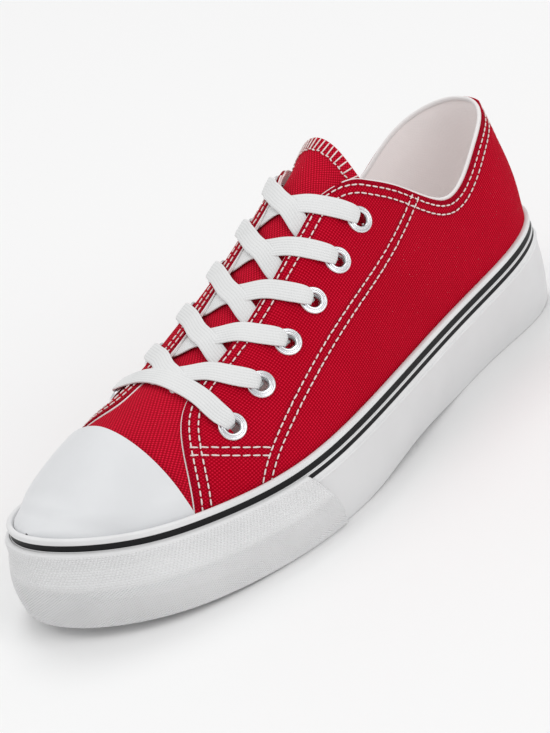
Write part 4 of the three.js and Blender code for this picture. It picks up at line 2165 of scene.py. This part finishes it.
    def build_insole(self) -> Piece:
        """The footbed, slightly dished, inside the lining.

        Returns:
            The footbed.
        """
        sole = Sole(self.last, self.bench)
        beside, behind = self.insole_gap
        margin = self.last.inset + self.last.wall + beside
        reach = self.last.length / 2 - margin - behind

        def place(u: Array, v: Array) -> Array:
            """Points of the upper face, raised towards both sides.

            Args:
                u: Share of the width.
                v: 0 at the toe to 1 at the heel.

            Returns:
                The points.
            """
            y = reach * (2 * v - 1)
            left, right = sole.inner_edges(y, margin)
            across = 1 - 2 * u
            height = self.last.seat(self.last.along_at(y)) + self.insole_height
            dish = self.insole_dish * np.abs(across) ** 3
            return np.stack([right + (left - right) * u, y, height + dish], -1)

        piece = self.bench.grid("insole_bed", 40, 120, place)
        self.bench.weld(piece)
        if piece.data.polygons[0].normal.z < 0:
            self.bench.edit(piece, bpy.ops.mesh.flip_normals)
        self.bench.thicken(piece, self.insole_thickness)
        self.bench.shade(piece, 50)
        return self.bench.settle(piece, INSOLE_COTTON, "lining_cotton", "insole")


# ---- Small parts --------------------------------------------------------------------------


@dataclass
class Stitching:
    """Rows of thread, each stitch a small twisted bean sunk into the cloth."""

    bench: Bench
    width: float = 0.68
    height: float = 0.6
    gap: float = 0.58
    lift: float = 0.16
    bluntness: float = 0.45
    uneven: float = 0.06
    lean: float = 0.05
    shortest: float = 0.5
    seed: int = 11

    def __post_init__(self) -> None:
        """Starts the order of small differences between stitches."""
        self.random = np.random.default_rng(self.seed)

    def bean(self) -> Piece:
        """One stitch, a millimetre long, along X.

        Returns:
            The stitch.
        """
        self.bench.clear()
        bpy.ops.mesh.primitive_uv_sphere_add(segments=6, ring_count=6, radius=0.5)
        piece = bpy.context.object
        self.bench.edit(
            piece,
            lambda: bpy.ops.transform.rotate(value=math.pi / 2, orient_axis="Y", center_override=(0, 0, 0)),
        )
        return piece

    def place(self, trace: Trace, length: float) -> list[tuple[Array, Array]]:
        """Centres and axes of the stitches of one row.

        Args:
            trace: The row's line.
            length: From the start of one stitch to the start of the next, in millimetres.

        Returns:
            A centre and three axes, already scaled, for each stitch.
        """
        run = run_along(trace.points)
        count = max(1, int(run[-1] / length))
        found = []
        for number in range(count):
            low = (number + 0.5) * run[-1] / count - (length - self.gap) / 2
            ends = np.array([low, low + length - self.gap]) + self.random.normal(0, self.uneven, 2)
            held = [np.interp(ends, run, trace.points[:, axis]) for axis in range(3)]
            start, end = np.array(held).T
            middle = np.array([np.interp(ends.mean(), run, trace.points[:, axis]) for axis in range(3)])
            normal = np.array([np.interp(ends.mean(), run, trace.normals[:, axis]) for axis in range(3)])
            axis = end - start
            size = np.linalg.norm(axis)
            if size < self.shortest:
                continue
            side = normalised(np.cross(normal, axis))
            axis = axis + side * self.random.normal(0, self.lean) * size
            up = normalised(np.cross(axis, side))
            across = normalised(np.cross(up, axis))
            centre = middle * 0.5 + (start + end) * 0.25 + up * self.lift
            found.append((centre, np.stack([axis, across * self.width, up * self.height])))
        return found

    def sew(self, name: str, rows: Sequence[tuple[Trace, float]], node: str) -> Piece:
        """Copies the bean along rows of stitches, as one mesh.

        Args:
            name: The piece's name.
            rows: Each row's line and stitch length.
            node: The frame node that the thread belongs to.

        Returns:
            The rows of stitches.
        """
        places = [stitch for trace, length in rows for stitch in self.place(trace, length)]
        bean = self.bean()
        mesh = bean.data
        shape = np.array([vertex.co[:] for vertex in mesh.vertices])
        girth = 2 * np.linalg.norm(shape[:, 1:], axis=1, keepdims=True)
        shape[:, 1:] *= np.maximum(girth, 1e-6) ** (self.bluntness - 1)
        faces = [list(face.vertices) for face in mesh.polygons]
        count = len(shape)
        points = np.concatenate([centre + shape @ axes for centre, axes in places])
        all_faces = [[i + count * k for i in face] for k in range(len(places)) for face in faces]
        made = bpy.data.meshes.new(name)
        made.from_pydata(self.bench.last.metres(points).tolist(), [], all_faces)
        uv = made.uv_layers.new(name="UVMap")
        corners = np.array([shape[i] for face in faces for i in face])
        mapped = np.stack([corners[:, 0] * 3.0, np.arctan2(corners[:, 2], corners[:, 1]) * 0.35], -1)
        uv.data.foreach_set("uv", np.tile(mapped, (len(places), 1)).astype(np.float32).ravel())
        bean.data = made
        bean.name = name
        bpy.data.meshes.remove(mesh)
        self.bench.shade(bean, 80)
        return self.bench.settle(bean, WHITE_THREAD, "lace_cotton", node)


@dataclass
class Eyelets:
    """Six rolled metal eyelets in each facing."""

    last: Last
    bench: Bench
    count: int = 6
    top: float = 0.615
    bottom: float = 0.265
    out_top: float = 22.0
    out_bottom: float = 31.0

    def stop(self, number: int, side: Side) -> tuple[float, float]:
        """Where an eyelet sits: along the shoe, and out from its centre line.

        Args:
            number: The row, 1 at the top.
            side: Which facing.

        Returns:
            Both places.
        """
        down = (number - 1) / (self.count - 1)
        along = self.top + (self.bottom - self.top) * down
        out = self.out_top + (self.out_bottom - self.out_top) * down
        return along, self.last.throat_centre + side.value * out

    def seat(self, number: int, side: Side) -> tuple[Array, Array]:
        """An eyelet's centre on the canvas, and the canvas's normal.

        Args:
            number: The row, 1 at the top.
            side: Which facing.

        Returns:
            The centre and the normal.
        """
        along, aside = np.array(self.stop(number, side))[:, None]
        angle = self.last.angle_at(along, aside)
        return self.last.point(along, angle)[0], self.last.normal(along, angle)[0]

    def seats(self) -> list[tuple[Array, Array]]:
        """Every eyelet's centre and normal."""
        return [self.seat(number, side) for side in Side for number in range(1, self.count + 1)]

    def build_ring(self) -> Piece:
        """One eyelet about the Z axis: rolled flange, inner bead and barrel.

        Returns:
            The ring.
        """
        profile = rounded_loop(
            (
                *((2.75, -2.9), (2.75, 0.9)),  # bore
                *((3.35, 1.55), (4.05, 1.25), (4.15, 0.85), (4.4, 0.8)),  # inner bead
                *((4.75, 1.15), (5.25, 1.0), (5.55, 0.4), (5.5, -0.1)),  # flange
                *((3.3, -0.1), (3.3, -2.9)),  # barrel
            ),
            radius=0.35,
            steps=3,
        )
        self.bench.clear()
        bpy.ops.mesh.primitive_circle_add(vertices=len(profile), radius=MM, fill_type="NOTHING")
        piece = bpy.context.object
        for vertex, (out, up) in zip(piece.data.vertices, profile):
            vertex.co = (out * MM, 0.0, up * MM)
        self.bench.edit(
            piece,
            lambda: bpy.ops.mesh.spin(steps=56, angle=2 * math.pi, center=(0, 0, 0), axis=(0, 0, 1)),
            lambda: bpy.ops.mesh.select_all(action="SELECT"),
            lambda: bpy.ops.mesh.remove_doubles(threshold=1e-6),
            lambda: bpy.ops.mesh.normals_make_consistent(inside=False),
        )
        self.bench.shade(piece, 40)
        return piece

    def build(self) -> None:
        """All twelve eyelets, from one model."""
        ring = self.build_ring()
        for side in Side:
            for number in range(1, self.count + 1):
                self.bench.pick(ring)
                bpy.ops.object.duplicate()
                piece = bpy.context.object
                word = side.name.lower()
                piece.name = f"eyelet_ring_{word}_{number}"
                centre, normal = self.seat(number, side)
                turn = Vector(normal).to_track_quat("Z", "Y").to_matrix().to_4x4()
                piece.matrix_world = Matrix.Translation(self.last.metres(centre)) @ turn
                bpy.ops.object.transform_apply()
                self.bench.settle(piece, SILVER, "eyelet_metal", f"eyelet_{word}_{number}")
        bpy.data.objects.remove(ring)


class LaceStop(NamedTuple):
    """One point of the lace's path, with its flat side's direction and its size there."""

    point: Array
    up: Array
    width: float
    thickness: float


class AxisStop(NamedTuple):
    """A lace stop's numbers against the distance along the strand."""

    along: float
    x: float
    y: float
    z: float
    up_x: float
    up_y: float
    up_z: float
    width: float
    thickness: float


@dataclass
class Lace:
    """One flat lace through all the eyelets: a bar at the bottom, then crossings up to the top."""

    last: Last
    bench: Bench
    eyelets: Eyelets
    width: float = 8.2
    thickness: float = 1.0
    facing: float = 12.0
    squareness: float = 0.35
    flatness: float = 0.7
    crown: float = 0.10
    samples: int = 96
    length_sewn: float = 0.0

    def over(self, along: float, aside: float, lift: float, width: float, thickness: float) -> LaceStop:
        """A stop lying over the form.

        Args:
            along: Place along the shoe.
            aside: Millimetres from the centre line.
            lift: The strand's middle above the form.
            width: The strand's width.
            thickness: Its thickness.

        Returns:
            The stop.
        """
        place = np.array([along])
        angle = self.last.angle_at(place, np.array([aside]))
        normal = self.last.normal(place, angle)[0]
        return LaceStop(self.last.point(place, angle)[0] + normal * lift, normal, width, thickness)

    def into(self, number: int, side: Side, coming: Array) -> list[LaceStop]:
        """The stops that take a strand down through an eyelet.

        Args:
            number: The eyelet's row.
            side: Its side.
            coming: Direction in which the strand comes to it.

        Returns:
            The stops, from above the eyelet to inside the facing.
        """
        centre, normal = self.eyelets.seat(number, side)
        flat = normalised(coming - normal * coming.dot(normal))
        lean = normalised(normal + flat * 0.9)
        return [
            LaceStop(centre - flat * 6.0 + normal * 1.7, normal, 7.9, 1.1),
            LaceStop(centre - flat * 3.1 + normal * 2.05, normalised(normal + flat * 0.25), 6.9, 1.3),
            LaceStop(centre - flat * 1.3 + normal * 0.9, lean, 5.0, 1.5),
            LaceStop(centre - flat * 1.0 - normal * 1.2, flat, 4.2, 1.4),
            LaceStop(centre - flat * 1.6 - normal * 3.0, normalised(flat - normal * 0.8), 4.8, 1.4),
        ]

    def crossing(self, number: int, side: Side) -> list[LaceStop]:
        """A strand from under one facing over to the eyelet of the row above on the other side.

        Args:
            number: The row that it climbs to.
            side: The facing that it climbs to.

        Returns:
            The stops, from start to end.
        """
        upper = side is Side.MEDIAL
        sign = side.value
        centre = self.last.throat_centre
        other = Side.MEDIAL if side is Side.LATERAL else Side.LATERAL
        from_along, from_aside = self.eyelets.stop(number + 1, other)
        to_along, to_aside = self.eyelets.stop(number, side)
        pitch = to_along - from_along
        reach = abs(to_aside - centre)

        def at(out: float, height: float, lift: float, width: float = self.width) -> LaceStop:
            """A stop some millimetres out from the centre and a share of the way up to the next row."""
            aside = centre + sign * out
            return self.over(from_along + pitch * height, aside, lift, width, self.thickness)

        rise = 1.25 if upper else 0.0
        stops = [
            self.over(from_along - 0.001, from_aside, -3.1, 5.0, 1.6),
            at(-self.facing - 5.0, -0.06, -2.9, 7.2),
            at(-self.facing, -0.06, -2.45),
            at(-self.facing + 4.5, 0.01, -1.5 + 0.4 * rise),
            at(-3.0, 0.12, -0.75 + rise),
            at(3.5, 0.24, -0.35 + 0.8 * rise),
            at(9.0, 0.40, 0.2 + 0.35 * rise),
            at(self.facing + 1.0, 0.53, 0.8),
            at((reach + self.facing) / 2, 0.72, 1.15),
        ]
        coming = self.eyelets.seat(number, side)[0] - stops[-1].point
        return stops + self.into(number, side, coming)

    def bar(self) -> list[LaceStop]:
        """The straight strand at the bottom, down into both eyelets.

        Returns:
            The stops, from inner to outer side.
        """
        count = self.eyelets.count
        centre = self.last.throat_centre
        along, _ = self.eyelets.stop(count, Side.LATERAL)
        outs = (-19.0, -10.0, 0.0, 10.0, 19.0)
        lifts = (1.0, 0.9, 0.9, 0.9, 1.0)
        middle = [self.over(along, centre + out, lift, 8.0, 1.15) for out, lift in zip(outs, lifts)]
        outer = self.into(count, Side.LATERAL, middle[-1].point - middle[-2].point)
        inner = self.into(count, Side.MEDIAL, middle[0].point - middle[1].point)
        return inner[::-1] + middle + outer

    def strand(self, name: str, stops: Sequence[LaceStop]) -> Piece:
        """A strand of lace through its stops.

        Args:
            name: The strand's name.
            stops: Its stops, in order.

        Returns:
            The strand.
        """
        table = np.array([[*stop.point, *stop.up, stop.width, stop.thickness] for stop in stops])
        run = run_along(table[:, :3])
        at = np.linspace(0, run[-1], self.samples)
        rows = [AxisStop(x, *row) for x, row in zip(run, table)]
        value = np.stack([Column(rows, field_name)(at) for field_name in AxisStop._fields[1:]], -1)
        path = value[:, :3]
        tangent = tangents(path)
        up = value[:, 3:6]
        up = normalised(up - tangent * (up * tangent).sum(1, keepdims=True))
        across = np.cross(tangent, up)
        width, thickness = value[:, 6:7], value[:, 7:8]
        side, top = circle(24).T
        side = signed_power(side, self.squareness)
        top = signed_power(top, self.flatness)
        crown = self.crown * (1 - side**2)
        section = np.stack([width / 2 * side, thickness / 2 * top + crown * width / self.width], -1)
        piece = self.bench.sweep(name, path, across, up, section)
        self.length_sewn += float(run[-1])
        return piece

    def build(self) -> Piece:
        """The whole lace as one piece.

        Returns:
            The lace.
        """
        parts = [self.strand("lace_bar", self.bar())]
        for number in range(self.eyelets.count - 1, 0, -1):
            for side in Side:
                parts.append(self.strand(f"lace_{number}_{side.name.lower()}", self.crossing(number, side)))
        piece = self.bench.join(parts, "lace")
        self.bench.shade(piece, 60)
        nodes = [f"lace_cross_{number}" for number in range(1, self.eyelets.count)]
        log.info("lace: %.0f mm in the shoe", self.length_sewn)
        return self.bench.settle(piece, LACE_COTTON, "lace_cotton", "lace_bar_6", *nodes)


# ---- Studio -------------------------------------------------------------------------------


@dataclass(frozen=True)
class Paper(Finish):
    """A plain pale studio sweep."""

    def paint(self, graph: Graph) -> None:
        """Builds the graph.

        Args:
            graph: The material's graph.
        """
        tone = graph.noise(3.0, 2.0)
        graph.link("Base Color", graph.mix(tone, (0.90, 0.90, 0.90), (0.91, 0.91, 0.91)))
        graph.set(roughness=0.9, specular_ior_level=0.1)


@dataclass(frozen=True)
class Softbox:
    """One large soft light."""

    name: str
    place: tuple[float, float, float]
    size: float
    power: float
    aim: tuple[float, float, float] = (0.0, 0.0, 0.05)

    def build(self) -> None:
        """Adds the light, turned to its aim."""
        bpy.ops.object.light_add(type="AREA", location=self.place)
        lamp = bpy.context.object
        lamp.name = self.name
        lamp.data.shape = "DISK"
        lamp.data.size = self.size
        lamp.data.energy = self.power
        lamp.rotation_euler = (Vector(self.aim) - Vector(self.place)).to_track_quat("-Z", "Y").to_euler()


@dataclass
class Studio:
    """Floor, soft lights, pale surroundings and the camera."""

    bench: Bench
    lens: float = 124.0
    azimuth: float = 53.0
    elevation: float = 24.5
    roll: float = 19.0
    distance: float = 1.0
    aim: tuple[float, float, float] = (-11.0, 0.0, 36.0)
    surroundings: float = 0.66
    lights: tuple[Softbox, ...] = (
        Softbox("key", (-0.6, -1.6, 2.2), 1.6, 10.0),
        Softbox("fill", (1.9, 0.2, 1.2), 1.6, 13.0),
        Softbox("rear", (-0.9, 0.8, 2.2), 1.3, 12.5),
    )

    def viewpoint(self) -> tuple[Vector, Matrix]:
        """The camera's place, and its turn: round from the toe, up, and rolled about its own axis.

        Returns:
            Place and turn.
        """
        round_by, up_by = math.radians(self.azimuth), math.radians(self.elevation)
        level = math.cos(up_by)
        back = Vector((level * math.sin(round_by), -level * math.cos(round_by), math.sin(up_by)))
        aim = Vector(self.bench.last.metres(np.array(self.aim)))
        upright = back.to_track_quat("Z", "Y").to_matrix()
        return aim + back * self.distance, upright @ Matrix.Rotation(math.radians(-self.roll), 3, "Z")

    def build(self) -> None:
        """Sets everything up."""
        self.bench.clear()
        bpy.ops.mesh.primitive_grid_add(x_subdivisions=8, y_subdivisions=8, size=12.0)
        floor = bpy.context.object
        floor.name = "floor"
        floor.data.materials.append(Paper("studio_paper").material())
        floor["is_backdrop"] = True
        for light in self.lights:
            light.build()
        world = bpy.data.worlds.new("studio")
        world.use_nodes = True
        backdrop = world.node_tree.nodes["Background"]
        backdrop.inputs["Color"].default_value = (1.0, 1.0, 1.0, 1.0)
        backdrop.inputs["Strength"].default_value = self.surroundings
        bpy.context.scene.world = world
        bpy.context.scene.view_settings.view_transform = "Standard"
        eye, turn = self.viewpoint()
        bpy.ops.object.camera_add(location=eye)
        camera = bpy.context.object
        camera.rotation_euler = turn.to_euler()
        camera.data.lens = self.lens
        camera.data.clip_start, camera.data.clip_end = 0.01, 50.0
        bpy.context.scene.camera = camera


def corners() -> list[list[float]]:
    """The shown object's lowest and highest corner, in metres."""
    return [[float(value) for value in corner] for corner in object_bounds()]


def main() -> None:
    """Builds the shoe piece by piece, then the studio."""
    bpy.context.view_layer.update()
    last = Last()
    bench = Bench(last)
    Studio(bench).build()
    sole = Sole(last, bench)
    sole.build_foxing()
    sole.build_outsole()
    Bumper(last, bench).build()
    seams = Seams(last)
    eyelets = Eyelets(last, bench)
    upper = Upper(last, bench, seams, holes=eyelets.seats())
    upper.build_cap()
    upper.build_vamp()
    for side in Side:
        upper.build_quarter(side)
    upper.build_lining()
    upper.build_piping()
    upper.build_front_edges()
    upper.build_stay()
    upper.build_tongue()
    upper.build_insole()
    stitching = Stitching(bench)
    rows = [row for side in Side for row in seams.rows(side, seams.sunk)]
    stitching.sew("quarter_stitching", rows + upper.stay_rows(), "upper")
    stitching.sew("tongue_overlock", upper.overlock(), "tongue")
    eyelets.build()
    Lace(last, bench, eyelets).build()


if __name__ == "__main__":
    main()
